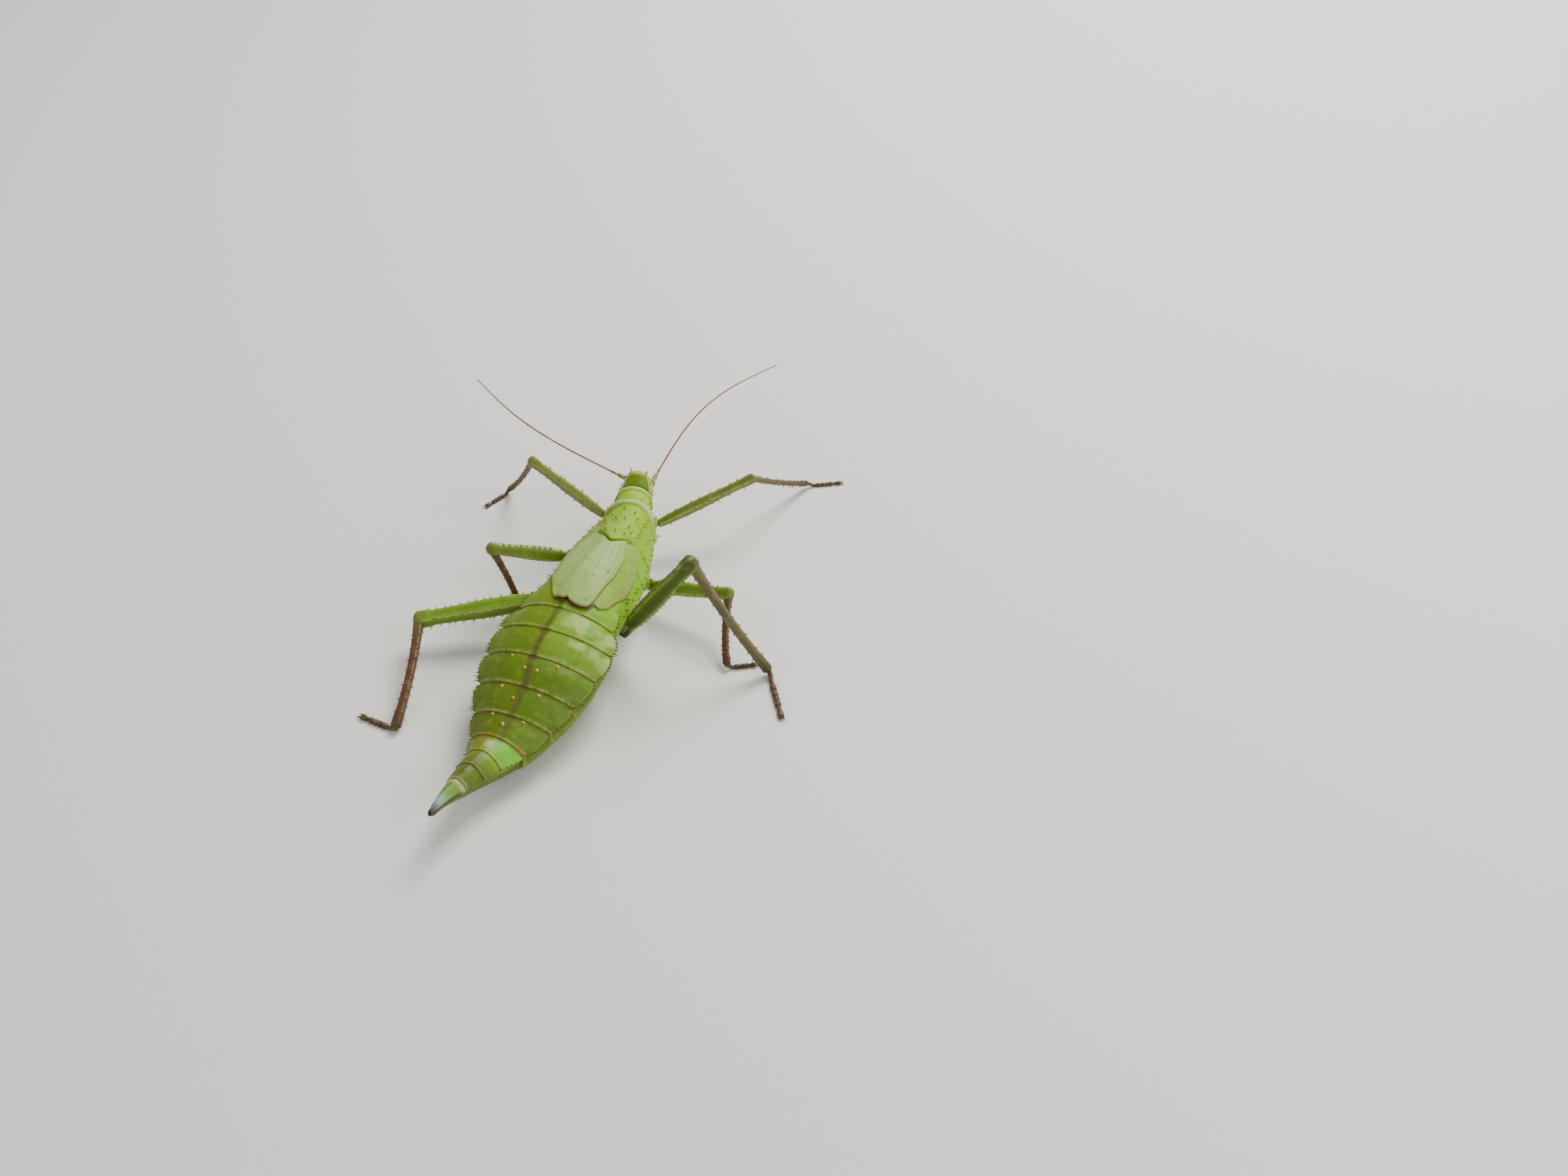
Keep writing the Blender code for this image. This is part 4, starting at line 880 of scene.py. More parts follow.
SEAM_DEPTH, SEAM_HALF = 0.3, 0.4                        # on the flanks of the thorax
STRIPE_CENTRE = ((71, 0.9), (79.6, 0.7), (87.5, 1.1), (97, 0.6), (106.9, -0.8), (116.2, -1.1),
                 (124.9, -1.5), (132, -0.8), (158, 0))
STRIPE_STRENGTH = ((71, 0.5), (79, 0.62), (90, 0.72), (108, 0.66), (118, 0.5), (128, 0.2), (142, 0.32),
                   (150, 0))
MARGIN_SPINES = {side: np.concatenate([
    start + (end - start) * (0.08 + 0.86 * (np.arange(n) + DRAW.uniform(-0.25, 0.25, n)) / (n - 1))
    for start, end, n in zip(PLATE_ENDS, PLATE_ENDS[1:], PLATE_SPINES)])
    for side in (1, -1)}
print("spines on the side margins:", {side: len(places) for side, places in MARGIN_SPINES.items()})


# %% Plates and rims
def plate_span(station):
    """Stations at which the back plate around each station starts and ends."""
    i = np.clip(np.searchsorted(PLATE_ENDS, station, side="right") - 1, 0, len(PLATE_ENDS) - 2)
    return PLATE_ENDS[i], PLATE_ENDS[i + 1]


def relief(station):
    """How far a back plate stands proud: it climbs to its rear lip and drops steeply behind it."""
    start, end = plate_span(station)
    climb = PLATE_CLIMB * ease(station, start, start + 0.4 * (end - start))
    climb = climb + PLATE_LIP * ease(station, end - 1.9, end - 0.9)
    return np.where(station > METATHORAX_END, climb * ease(end - station, 0, PLATE_DROP), 0)


def rim_rise(station, lateral):
    """Rolled rims of the first plate: height times a power of one less the squared share of the width."""
    total = 0
    for centre, half, rise, left, right in RIMS:
        line = centre + np.where(lateral > 0, left, right) * lateral**2
        total = total + rise * np.clip(1 - ((station - line) / half) ** 2, 0, 1) ** 0.7
    return total


print("the rear rim stands", rim_rise(26.6, 0.0).round(2), "mm over the first plate")


# %% Half a section
def half_section(station, around, table=SECTIONS):
    """Lateral distance and height of the skin, where around runs from 0 at the crown to 1 at the keel.
    The plate is a sine across with a power of it taken off the crown, the flank is a straight line, and
    the belly is a quarter of an ellipse with its cosine and sine raised to a power.
    """
    plate, margin, crown, flank, depth, belly = sizes_at(station, table)
    raised = relief(station) if table is SECTIONS else 0 * station
    across = np.sin(np.clip(around / MARGIN_AT, 0, 1) * np.pi / 2)
    edge = plate + 0.5 * raised
    down = np.clip((around - MARGIN_AT) / (FLANK_AT - MARGIN_AT), 0, 1)
    under = np.clip((around - FLANK_AT) / (1 - FLANK_AT), 0, 1) * np.pi / 2
    lateral = np.where(around <= MARGIN_AT, edge * across, edge + (flank - edge) * down)
    lateral = np.where(around > FLANK_AT, flank * np.cos(under) ** 0.8, lateral)
    top = margin + (crown - margin) * (1 - across**CROWN_POWER) + raised
    height = np.where(around <= MARGIN_AT, top, margin + raised - (margin + raised + depth) * down)
    low = -depth - (belly - depth) * np.sin(under) ** 0.9
    return lateral, np.where(around > FLANK_AT, low, height)


print("depth of the belly at station 100:", round(-float(half_section(100.0, 1.0)[1]), 1), "mm")


# %% [markdown]
# The raised V is the rear edge of a shield in front of the wings. It, the ridge down the middle, the
# fold inside the margin and the creases are heights added to the back. Sculpting would be freer, but
# such sums stay at their named stations when a size changes.

# %% The raised V and other forms of the back
def shield_edge(lateral):
    """Station of the V's rear edge: the apex less the distance from the middle, with its point rounded
    by the root of a sum of squares, up to the half width, and half of what is beyond it the other way.
    """
    away = np.sqrt(lateral**2 + SHIELD_POINT**2) - SHIELD_POINT
    return SHIELD_APEX - np.minimum(away, SHIELD_HALF) + 0.5 * np.maximum(away - SHIELD_HALF, 0)


def shield_rise(station, lateral):
    """Height of the V over the back: it climbs over 9 mm to its rear edge and falls within 1 mm."""
    edge = shield_edge(lateral)
    inside = 1 - ease(np.abs(lateral), SHIELD_HALF - 0.6, SHIELD_HALF + 0.8)
    climb = ease((station - edge + 9) / 9, -0.1, 0.9) * (1 - ease(station, edge - 0.3, edge + 0.5))
    return SHIELD_HEIGHT * climb * inside * (1 - 0.3 * (lateral / SHIELD_HALF) ** 2)


def nearest_distance(values, places):
    """Distance from each value to the nearest of the sorted places."""
    i = np.clip(np.searchsorted(places, values), 1, len(places) - 1)
    return np.minimum(np.abs(values - places[i - 1]), np.abs(values - places[i]))


def abdomen_share(station):
    """1 along the abdomen, and 0 on the thorax and the tail."""
    return ease(station, *ABDOMEN_FROM) * (1 - ease(station, *ABDOMEN_TO))


def pushed_by_rims(station, around, lateral, height):
    """The section moved straight away from its middle by the height of the first plate's rims."""
    rolled = rim_rise(station, lateral) * (1 - ease(around, 0.62, 0.75))
    reach = np.sqrt(lateral**2 + (height + 1.5) ** 2) + 0.1
    return lateral * (1 + rolled / reach), height + rolled * (height + 1.5) / reach


def back_forms(station, around, lateral):
    """Height that the V, the ridge down the middle, a fold inside the margin and creases give the back."""
    start, end = plate_span(station)
    ridge = np.where(station > RIDGE_FROM, RIDGE_HEIGHT * np.exp(-(lateral / RIDGE_HALF) ** 2), 0)
    fold = FOLD_HEIGHT * np.exp(-((around - FOLD_AT) / 0.014) ** 2)
    creases = np.sin(CREASES * (station - start) / (end - start) + 0.05 * lateral**2)
    creases = CREASE_HEIGHT * (creases * ease(np.abs(lateral), 2, 6))
    forms = shield_rise(station, lateral) + ridge + abdomen_share(station) * (fold + creases)
    return np.where(around <= MARGIN_AT, forms, 0)


print("the V rises to", shield_rise(np.linspace(40, 52, 200), 0.0).max().round(2), "mm")


# %% Forms of the sides
def margin_forms(station, around, side, lateral):
    """The plates' edges bulge between the joints, carry a tooth for each spine and overhang a fold."""
    start, end = plate_span(station)
    abdomen = abdomen_share(station)
    bulge = np.sin(np.pi * np.clip((station - start) / (end - start), 0.001, 0.999)) ** 0.6
    flange = ease(around, 0.25, MARGIN_AT) * (1 - ease(around, MARGIN_AT, FLANK_AT))
    lateral = lateral + side * flange * abdomen * (BULGE * bulge - INSET)
    lateral = lateral * (1 + np.where(side < 0, FULL_RIGHT, 0) * np.exp(-((station - FULL_AT) / 9) ** 2))
    away = np.where(side > 0, nearest_distance(station, MARGIN_SPINES[1]),
                    nearest_distance(station, MARGIN_SPINES[-1]))
    teeth = EDGE + TOOTH_HEIGHT * np.exp(-(away / TOOTH_HALF) ** 2)
    teeth = np.exp(-((around - MARGIN_AT) / 0.02) ** 2) * teeth
    fold = np.sin(np.clip((around - MARGIN_AT) / (FLANK_AT - MARGIN_AT), 0, 1) * np.pi)
    return lateral + side * abdomen * (teeth - UNDERCUT * fold)


def seam_strength(station, height, width):
    """1 on the slanting seams of the thorax's flanks, falling as a bell curve of this width."""
    return np.exp(-(nearest_distance(station + 0.25 * height, FLANK_SEAMS) / width) ** 2)


print("strength of a seam 0.4 mm away:", seam_strength(29.7, 0.0, 0.4).round(2))


# %% [markdown]
# Here the forms are put together. The rims push the whole section outward, the heights of the back
# follow, and the margin comes last, because its teeth and folds only move sideways. The spines are
# planted later by the same functions, so that their roots always meet the skin.

# %% The finished skin
def skin_point(station, around, side):
    """Place on the finished skin: the section, pushed, raised and widened by the forms above, and drawn
    in by the root of the distance at both ends. It is held above the floor, so the belly keeps its flat.
    """
    station, around, side = same_shape(station, around, side)
    lateral, height = half_section(station, around)
    lateral, height = pushed_by_rims(station, around, lateral * side, height)
    height = height + back_forms(station, around, lateral)
    lateral = margin_forms(station, around, side, lateral)
    start, end = plate_span(station)
    joint = np.where(station - start < end - station, start, end)
    groove = BELLY_GROOVE * np.exp(-((station - joint) / BELLY_GROOVE_HALF) ** 2)
    height = height + np.where((around > FLANK_AT) & (station > METATHORAX_END), groove, 0)
    on_flank = ease(around, 0.47, 0.52) * (1 - ease(around, 0.75, 0.9))
    lateral = lateral - side * SEAM_DEPTH * (seam_strength(station, height, SEAM_HALF) * on_flank)
    belly = sizes_at(station)[5]
    height = np.where(station > TAIL_START, np.maximum(height, -TAIL_CUT * belly), height)
    neck = np.clip((station - NECK) / 1.4, 0, 1)
    tip = np.clip(TAIL_TIP + 0.2 - station, 0, 1)
    point = on_body(station, lateral * np.sqrt(neck * tip), height * np.sqrt(neck * tip))
    point[..., 2] = np.maximum(point[..., 2], 0)
    return point


def skin_normal(station, around, side):
    """Place and outward direction: the cross product of two small steps over the skin."""
    small, turn = 0.15, 0.008
    here = skin_point(station, around, side)
    back = skin_point(station + small, around, side) - skin_point(station - small, around, side)
    down = skin_point(station, around + turn, side) - skin_point(station, around - turn, side)
    return here, unit(np.cross(down, back) * np.asarray(side, float)[..., None])


def around_of(station, lateral):
    """The share round the section at which the back plate has this lateral distance."""
    plate = sizes_at(station)[0] + 0.5 * relief(station)
    return MARGIN_AT * np.arcsin(np.clip(np.abs(lateral) / plate, 0, 1)) * 2 / np.pi


def both_sides(half):
    """The shares once round the body, down its left and up its right, with 1 and -1 for the side."""
    return np.concatenate([half, half[-2:0:-1]]), np.repeat((1.0, -1.0), (len(half), len(half) - 2))


print("crown at station 90:", skin_point(90.0, 0.0, 1.0).round(1), "mm")

# %% Body skin
stations = np.unique(np.round(np.concatenate([
    np.arange(NECK + 0.02, TAIL_TIP + 0.15, 0.36), np.arange(41, 53, 0.2), np.arange(16, 29, 0.25),
    *[end + np.array([-0.3, -0.2, -0.1, -0.02, 0.02, 0.12]) for end in PLATE_ENDS[:-1]]]), 3))
half = np.concatenate([np.linspace(0, 0.37, 32), np.linspace(0.38, 0.40, 5), np.linspace(0.41, 0.48, 12),
                       np.linspace(0.5, 0.64, 8), np.linspace(0.66, 1, 14)])
shares, side = both_sides(half)
station, around = np.meshgrid(stations, shares, indexing="ij")
lateral, height = half_section(station, around)
lateral = lateral * side
start, end = plate_span(station)
on_plates = station > METATHORAX_END
FAR_FROM_JOINT = 9                          # in front of the abdomen
values = {"station": station, "lateral": lateral, "around": around}
values["to_rear"] = np.where(on_plates, end - station, FAR_FROM_JOINT)
values["from_front"] = np.where(on_plates, station - start, FAR_FROM_JOINT)
values["off_stripe"] = lateral - smooth_through(station, *np.transpose(STRIPE_CENTRE))
strength = smooth_through(station, *np.transpose(STRIPE_STRENGTH))
values["stripe"] = np.where(on_plates & (around < 0.3), strength, 0)
values["seam"] = seam_strength(station, height, 0.45) * (around > 0.5)
values["rim"] = np.clip(rim_rise(station, lateral), 0, 1)
add_piece("body_skin", tube_shape(skin_point(station, around, side), **values), SKIN, "green_skin",
          "prothorax", "mesothorax", "metathorax", *[f"abdomen_{n}" for n in range(2, 11)], "epiproct")

# %% [markdown]
# ## The scoop under the tail
# The female's last plate underneath forms a long scoop that holds the eggs. With the plates above it
# makes the closed beak at the end of the body. It could be part of the body's skin, but it hangs from
# the tail's cut with a seam all round, so it is a tube of half ellipses with a flat lid.

# %% Operculum
angle = np.linspace(0, np.pi, 40)
stations = np.append(np.linspace(TAIL_START + 0.2, OPERCULUM_END - 0.4, 90),
                     (OPERCULUM_END - 0.15, OPERCULUM_END))[:, None]
lid = np.linspace(-SCOOP_WIDTH, SCOOP_WIDTH, 14)[1:-1]
_, _, _, flank, _, belly = sizes_at(stations)
top = on_body(stations, lid * flank, -TAIL_CUT * belly - GAP)
rings = np.concatenate([operculum_ring(stations, angle), top], 1)
rings[..., 2] = np.maximum(rings[..., 2], 0)
add_piece("scoop_skin", tube_shape(rings), TAIL, "tail", "operculum")

# %% [markdown]
# ## Head
# The head is a flattened box that ends in a crest with a flat top. It could be modelled by hand from a
# cube. The body's own section formula serves here with a table for the head, and a brow, a groove and
# a slanting seam are added to it.

# %% Head
LEFT_BACK_UP = np.stack(directions(np.array(4.0)))[[1, 0, 2]]
HEAD_ENDS = (0.3, 17.0)                     # stations where its domes close
BROW = (6.0, 0.42)                          # station, and share of the way round
EYE_PLACE, EYE_RADII = (5.5, 4.4, 0.8), (0.9, 1.2, 1.2)


def head_point(station, around, side):
    """Place on the head: its section, plus a brow and less a groove and a seam, which are bell curves,
    with domes that close both ends.
    """
    station, around, side = same_shape(station, around, side)
    lateral, height = half_section(station, around, HEAD_SECTIONS)
    front, rear = HEAD_ENDS
    closing = np.sqrt(np.clip((station - front) / 0.9, 0, 1) * np.clip((rear - station) / 1.4, 0, 1))
    brow = 0.35 * np.exp(-((station - BROW[0]) / 2.0) ** 2 - ((around - BROW[1]) / 0.08) ** 2)
    groove = 0.18 * np.exp(-(lateral / 0.35) ** 2) * ease(station, 4, 6) * (1 - ease(station, 9, 11))
    seam = 0.16 * np.exp(-((station - 8.6 - 0.5 * lateral) / 0.35) ** 2) * (around < 0.45)
    return on_body(station, (lateral + brow) * closing * side, (height - groove - seam) * closing)


head_stations = np.concatenate([[0.32, 0.36, 0.45], np.linspace(0.6, 16.2, 130), [16.4, 16.6, 16.8, 16.95]])
shares, side = both_sides(np.linspace(0, 1, 72))
station, around = np.meshgrid(head_stations, shares, indexing="ij")
head = tube_shape(head_point(station, around, side), station=station, around=around)
add_piece("head_skin", head, HEAD, "green_skin", "head")

# %% [markdown]
# The face hangs under the head and can't be seen from above, so its lip, jaws and chin are plain
# ellipsoids, turned with the head. The eyes are small domes below the brow.

# %% Mouthparts and eyes
# Station, lateral distance, height and radii of the upper lip, the two jaws and the chin
MOUTHPARTS = (((0.2, 0, -0.6), (1.9, 0.8, 1.6)), ((0.9, 1.5, -2.6), (1.5, 1.0, 1.9)),
              ((0.9, -1.5, -2.6), (1.5, 1.0, 1.9)), ((2.4, 0, -4.6), (1.8, 1.6, 1.0)))
mouth = [ellipsoid_shape(on_body(*place), radii, LEFT_BACK_UP) for place, radii in MOUTHPARTS]
add_piece("mouth_skin", join_shapes(mouth), MOUTH, "pale_skin", "jaws")
for name, sign in SIDES.items():
    centre = on_body(EYE_PLACE[0], sign * EYE_PLACE[1], EYE_PLACE[2])
    eye = ellipsoid_shape(centre, EYE_RADII, LEFT_BACK_UP, 30, 40)
    add_piece(f"eye_skin_{name}", eye, EYE, "eye", f"eye_{name}")

# %% [markdown]
# ## Limbs and feelers
# Legs, feelers and palps are all tubes along a path, and differ in their rings. Feelers and palps have
# round ones. A leg's rings turn from an ellipse toward a box as their power grows, so one formula
# gives both the round hip and the keeled femur.

# %% Rings along a path
def crosswise(points, side_axis):
    """Directions along a path and across it: the side axis less its part along the path, and the cross
    product of the two.
    """
    along = unit(np.gradient(points, axis=0))
    side = unit(side_axis - along * (along @ side_axis)[:, None])
    return along, side, np.cross(side, along)


def ring_path(points, radii, side_axis, sides=14, flat=1.0):
    """Round rings across a path: the cosine goes to the side and the sine over, times each radius."""
    _, side, over = crosswise(points, side_axis)
    angle = angles_round(sides)
    x = np.asarray(radii)[:, None] * np.cos(angle)
    y = flat * np.asarray(radii)[:, None] * np.sin(angle)
    return points[:, None] + x[..., None] * side[:, None] + y[..., None] * over[:, None]


def bar(start, end, shares, sag=(0, 0, 0)):
    """The straight line between two places, plus the sag times four times the share times its rest."""
    t = np.asarray(shares, float)[:, None]
    return start + (end - start) * t + 4 * t * (1 - t) * np.asarray(sag, float)


middle_of_a_bow = bar(np.zeros(3), np.array((10.0, 0, 0)), (0.5,), (0, 0, 1))[0]
print("middle of a bar 10 mm long that sags by 1:", middle_of_a_bow)


# %% Limbs with keels and teeth
KEELS = np.radians((45, 135, 225, 315))
SPINE_LEAN = 0.45


class Limb:
    """A leg joint whose rings lie between an ellipse and a box: the shares of the width and the depth,
    each to the same power, add up to one. A power over two raises four keels.
    """

    def __init__(self, start, end, marks, widths, depths, side_axis, power, teeth, tooth=0.2, sag=(0, 0, 0)):
        self.start, self.end, self.sag = start, end, np.asarray(sag, float)
        self.marks, self.widths, self.depths = marks, widths, depths
        self.side_axis, self.power = side_axis, power
        self.length = float(np.linalg.norm(end - start))
        self.tooth = tooth
        self.rows = [0.09 + 0.83 * (np.arange(teeth) + DRAW.uniform(0.1, 0.9, teeth)) / teeth for _ in KEELS]

    def at(self, t, angle):
        """Point, outward and lengthwise direction at shares t and angles round the limb."""
        t, angle = np.atleast_1d(t), np.atleast_1d(angle)
        order = np.linspace(self.marks[0], self.marks[-1], 200)
        axes = crosswise(bar(self.start, self.end, order, self.sag), self.side_axis)
        along, side, over = (read_off(t, order, vectors) for vectors in axes)
        to_end = np.minimum(t - self.marks[0], self.marks[-1] - t)
        dome = np.sqrt(np.clip(to_end / 0.02, 0.02, 1))
        wide, deep = (smooth_through(t, self.marks, sizes) * dome for sizes in (self.widths, self.depths))
        cosine, sine = np.cos(angle), np.sin(angle)
        reach = (np.abs(cosine) ** self.power + np.abs(sine) ** self.power) ** (-1 / self.power)
        rise = np.zeros(t.shape)
        for keel, row in zip(KEELS, self.rows):
            turn = np.abs((angle - keel + np.pi) % (2 * np.pi) - np.pi)
            along_keel = nearest_distance(t, row) * self.length
            rise += self.tooth * np.exp(-(along_keel / 0.45) ** 2 - (turn / 0.2) ** 2)
        out = (wide * cosine)[..., None] * side + (deep * sine)[..., None] * over
        away = unit(out)
        point = bar(self.start, self.end, t, self.sag) + out * reach[..., None] + away * rise[..., None]
        return point, away, along

    def shape(self, rows, sides, tone=0.0, shade=0.0):
        """The limb as a closed tube, with what its material reads at each point."""
        shares = np.linspace(self.marks[0], self.marks[-1], rows)
        share, angle = np.meshgrid(shares, angles_round(sides), indexing="ij")
        point = self.at(share.ravel(), angle.ravel())[0].reshape(rows, sides, 3)
        keel = np.abs(np.sin(2 * angle)) ** 3
        return tube_shape(point, along=share, keel=keel, tone=tone, shade=shade)

    def spines(self, length, width):
        """Spines on the teeth of the keels. They point outward and lean toward the far end."""
        t = np.concatenate(self.rows)
        angle = np.repeat(KEELS, [len(row) for row in self.rows])
        point, away, along = self.at(t, angle)
        size = length * DRAW.uniform(0.55, 1.25, len(t))
        thick = width * (0.6 + 0.4 * size / length)
        return spine_shape(point - 0.12 * away, away + SPINE_LEAN * along, size, thick, 0.15 * along)


print("keels at", np.degrees(KEELS).round(), "degrees round each limb")

# %% [markdown]
# A feeler is a thick first joint, a smaller second one and a long whip of short ones. It could follow
# a Bezier curve. Turning its direction smoothly and adding up the steps keeps its length exact, as a
# real feeler bends but doesn't stretch.

# %% Feelers
ANTENNA_LENGTH, ANTENNA_ROOT = 74.0, (3.6, 3.7, 0.2)
ANTENNA_START = {1: (0.92, 0.06, 0.36), -1: (-0.08, -0.96, 0.28)}
ANTENNA_END = {1: (0.80, -0.58, -0.05), -1: (-0.42, -0.90, -0.08)}
# Distances from the root and radii there, and the places of the joints
ANTENNA_RADII = (0, 3.5, 4.5, 6.5, 7.5, 40, 74), (0.72, 0.8, 0.42, 0.44, 0.3, 0.24, 0.15)
ANTENNA_JOINTS = np.concatenate([[3.5, 5.6], 5.6 + np.cumsum(np.linspace(1.6, 3.3, 27))])


def antenna_path(sign):
    """The direction turns smoothly from the start to the end one, and the path is its running sum."""
    share = np.linspace(0, 1, 320)
    turn = ease(share, 0.1, 0.9)[:, None]
    step = unit(ANTENNA_START[sign]) * (1 - turn) + unit(ANTENNA_END[sign]) * turn
    path = np.cumsum(unit(step), axis=0) * ANTENNA_LENGTH / len(share)
    root = on_body(ANTENNA_ROOT[0], sign * ANTENNA_ROOT[1], ANTENNA_ROOT[2])
    return share * ANTENNA_LENGTH, root + path - path[0]


UP = np.array((0, 0, 1.0))


def feeler_shape(sign):
    """Rings along the path, a sixth narrower at each joint."""
    away, path = antenna_path(sign)
    nearest = nearest_distance(away, ANTENNA_JOINTS)
    radius = smooth_through(away, *ANTENNA_RADII) * (1 - 0.16 * np.exp(-(nearest / 0.22) ** 2))
    rings = ring_path(path, radius, UP + 0.1 * unit(ANTENNA_START[-sign]))
    return tube_shape(rings, along=(away / ANTENNA_LENGTH)[:, None], ring=nearest[:, None])


for name, sign in SIDES.items():
    add_piece(f"feeler_skin_{name}", feeler_shape(sign), FEELER, "feeler", f"antenna_{name}")

# %% [markdown]
# A palp is a short arm of three joints beside the mouth. It narrows at each joint, which the radii
# alone can show, so it is a round tube too.

# %% Palps
# Station, lateral distance and height of the root, two bends and the tip, and radii along the way
PALP_BENDS = ((3.2, 2.9, -4.0), (2.4, 3.9, -5.6), (0.8, 4.0, -6.4), (-0.6, 3.2, -6.2))
PALP_RADII = (0, 0.9, 1, 1.1, 1.9, 2, 2.1, 2.9, 3), (0.45, 0.52, 0.38, 0.5, 0.5, 0.36, 0.48, 0.36, 0.2)


def palp_shape(sign):
    """Rings along a smooth path through the bends."""
    bends = np.array([on_body(s, sign * x, h) for s, x, h in PALP_BENDS])
    t = np.linspace(0, len(bends) - 1, 48)
    path = np.stack([smooth_through(t, np.arange(len(bends)), bends[:, k]) for k in range(3)], 1)
    return tube_shape(ring_path(path, smooth_through(t, *PALP_RADII), LEFT_BACK_UP[0]))


for name, sign in SIDES.items():
    add_piece(f"palp_skin_{name}", palp_shape(sign), MOUTH, "pale_skin", f"palp_{name}")

# %% [markdown]
# ## Legs
# A leg is a short coxa at the body, a deep four-keeled femur, a thinner tibia and a foot of five
# joints with pads. The places of knee, ankle and toe are taken over from the solids. Each limb is a
# tube with a squarish section, as the real keels stand out at four corners. An armature would let the
# legs move, but this model keeps one pose.

# %% Leg places and sizes
LEG_PLACES = {
    "front_right": ((-28.0, -100.5, 19.5), (-38.3, -125.2, 1.7), (-48.5, -130.7, 1.0)),
    "front_left": ((39.7, -77.2, 26.2), (57.2, -88.0, 1.7), (61.0, -78.3, 1.0)),
    "mid_right": ((-39.5, -51.6, 14.0), (-45.3, -34.1, 1.7), (-53.0, -38.4, 1.0)),
    "mid_left": ((34.5, -38.5, 21.5), (21.5, -31.0, 1.7), (30.5, -37.5, 1.0)),
    "hind_right": ((-35.0, -35.7, 38.5), (-58.3, -36.0, 1.7), (-68.1, -20.3, 1.0)),
    "hind_left": ((47.7, -13.6, 9.2), (36.0, 22.5, 1.7), (48.6, 21.0, 1.0)),
}
HIP_STATIONS = {"front": 23.6, "mid": 47.0, "hind": 68.5}
HIP_OUT, HIP_DEPTH = {"front": 1.6, "mid": 0.8, "hind": 0.2}, 5.5   # past and inside the flank
HIP_DROP = {"front": 2.2, "mid": 3.8, "hind": 4.0}
COXA_RADIUS = {"front": 2.2, "mid": 2.6, "hind": 3.0}
FEMUR_RADIUS = {"front": 1.8, "mid": 2.1, "hind": 2.6}
TIBIA_RADIUS = {"front": 0.9, "mid": 1.08, "hind": 1.38}
TARSUS_RADIUS = {"front": 0.64, "mid": 0.7, "hind": 0.82}
SPINE_LENGTH = {"front": 0.9, "mid": 1.0, "hind": 1.25}
SPINE_COUNT = {"front": 8, "mid": 10, "hind": 13}      # on each keel of the femur
TROCHANTER = {"front": 0.0, "mid": 1.2, "hind": 4.6}   # how far the femur's root runs into the hip
# Greenness of the femur, the painted shade on it and on a hind coxa, and greyness of the tibia, each from 0
# to 1
LEG_TONES = {
    "front_right": (0.1, 0.3, 0.6), "front_left": (0.0, 0.1, 0.4), "mid_right": (0.8, 0.1, 0.3),
    "mid_left": (0.6, 0.05, 0.0), "hind_right": (0.9, 0.85, 1.0), "hind_left": (1.0, 0.0, 0.2),
}
# Shares of the length, and widths and depths there as shares of the radius
COXA_MARKS, COXA_WIDTHS = (0, 0.3, 0.55, 0.8, 0.96, 1.04), np.array((1.0, 1.05, 1.0, 0.92, 0.72, 0.45))
FEMUR_WIDTHS = np.array((0.6, 0.68, 0.74, 0.84, 0.86, 0.76, 0.74, 0.84, 0.84, 0.66, 0.3))
FEMUR_DEPTHS = np.array((0.7, 0.8, 0.92, 1.06, 1.08, 0.92, 0.86, 0.98, 0.98, 0.74, 0.34))
FEMUR_MARKS = (0.05, 0.12, 0.25, 0.45, 0.7, 0.86, 0.94, 1.0)       # between the root and the knee's dome
TIBIA_MARKS = (0.0, 0.06, 0.14, 0.3, 0.55, 0.8, 0.93, 1.0)
TIBIA_WIDTHS, TIBIA_DEEPER = np.array((1.0, 1.05, 0.95, 0.86, 0.84, 0.86, 0.98, 1.0)), 1.08
print("legs:", ", ".join(LEG_PLACES))


# %% [markdown]
# A hip sits low on the flank, so its place is worked out from the section there. A foot has five
# joints with pads that swell toward their ends, and two hooked claws. Separate pads would leave gaps,
# so a foot is one tube whose width goes up and down.

# %% Hips and feet
def hip_place(name):
    """Points at the root of the coxa inside the body and at the hip outside the flank."""
    pair, side = name.split("_")
    sign = SIDES[side]
    station = np.array(HIP_STATIONS[pair])
    _, _, _, flank, depth, _ = sizes_at(station)
    inner = on_body(station, sign * (flank - HIP_DEPTH), -depth - 0.5 * HIP_DROP[pair])
    return inner, on_body(station, sign * (flank + HIP_OUT[pair]), -depth - HIP_DROP[pair])


def foot_shape(ankle, toe, radius):
    """Five joints with pads: the width swells before each joint, and the sole is held above the floor."""
    marks, wide = [-0.08, 0.05, 0.2], [0.9, 0.95, 0.8]
    for pad_end in (0.37, 0.49, 0.61, 0.73, 0.97):
        marks += [pad_end - 0.06, pad_end, pad_end + 0.03]
        wide += [1.2, 1.2, 0.7]
    t = np.linspace(marks[0], marks[-1], 130)
    points = bar(ankle, toe, t)
    floor = 0.76 * radius
    points[:, 2] = smooth_through(t, (-0.08, 0.05, 0.2, 1), (ankle[2] + 0.1, ankle[2] - 0.3, floor, floor))
    dome = np.sqrt(np.clip(np.minimum(t - t[0], t[-1] - t) / 0.03, 0.03, 1))
    radii = smooth_through(t, marks, np.array(wide) * radius) * dome
    rings = ring_path(points, radii, np.cross(toe - ankle, UP), 24, 0.95)
    rings[..., 2] = np.maximum(rings[..., 2], 0)
    return points[-1], tube_shape(rings)


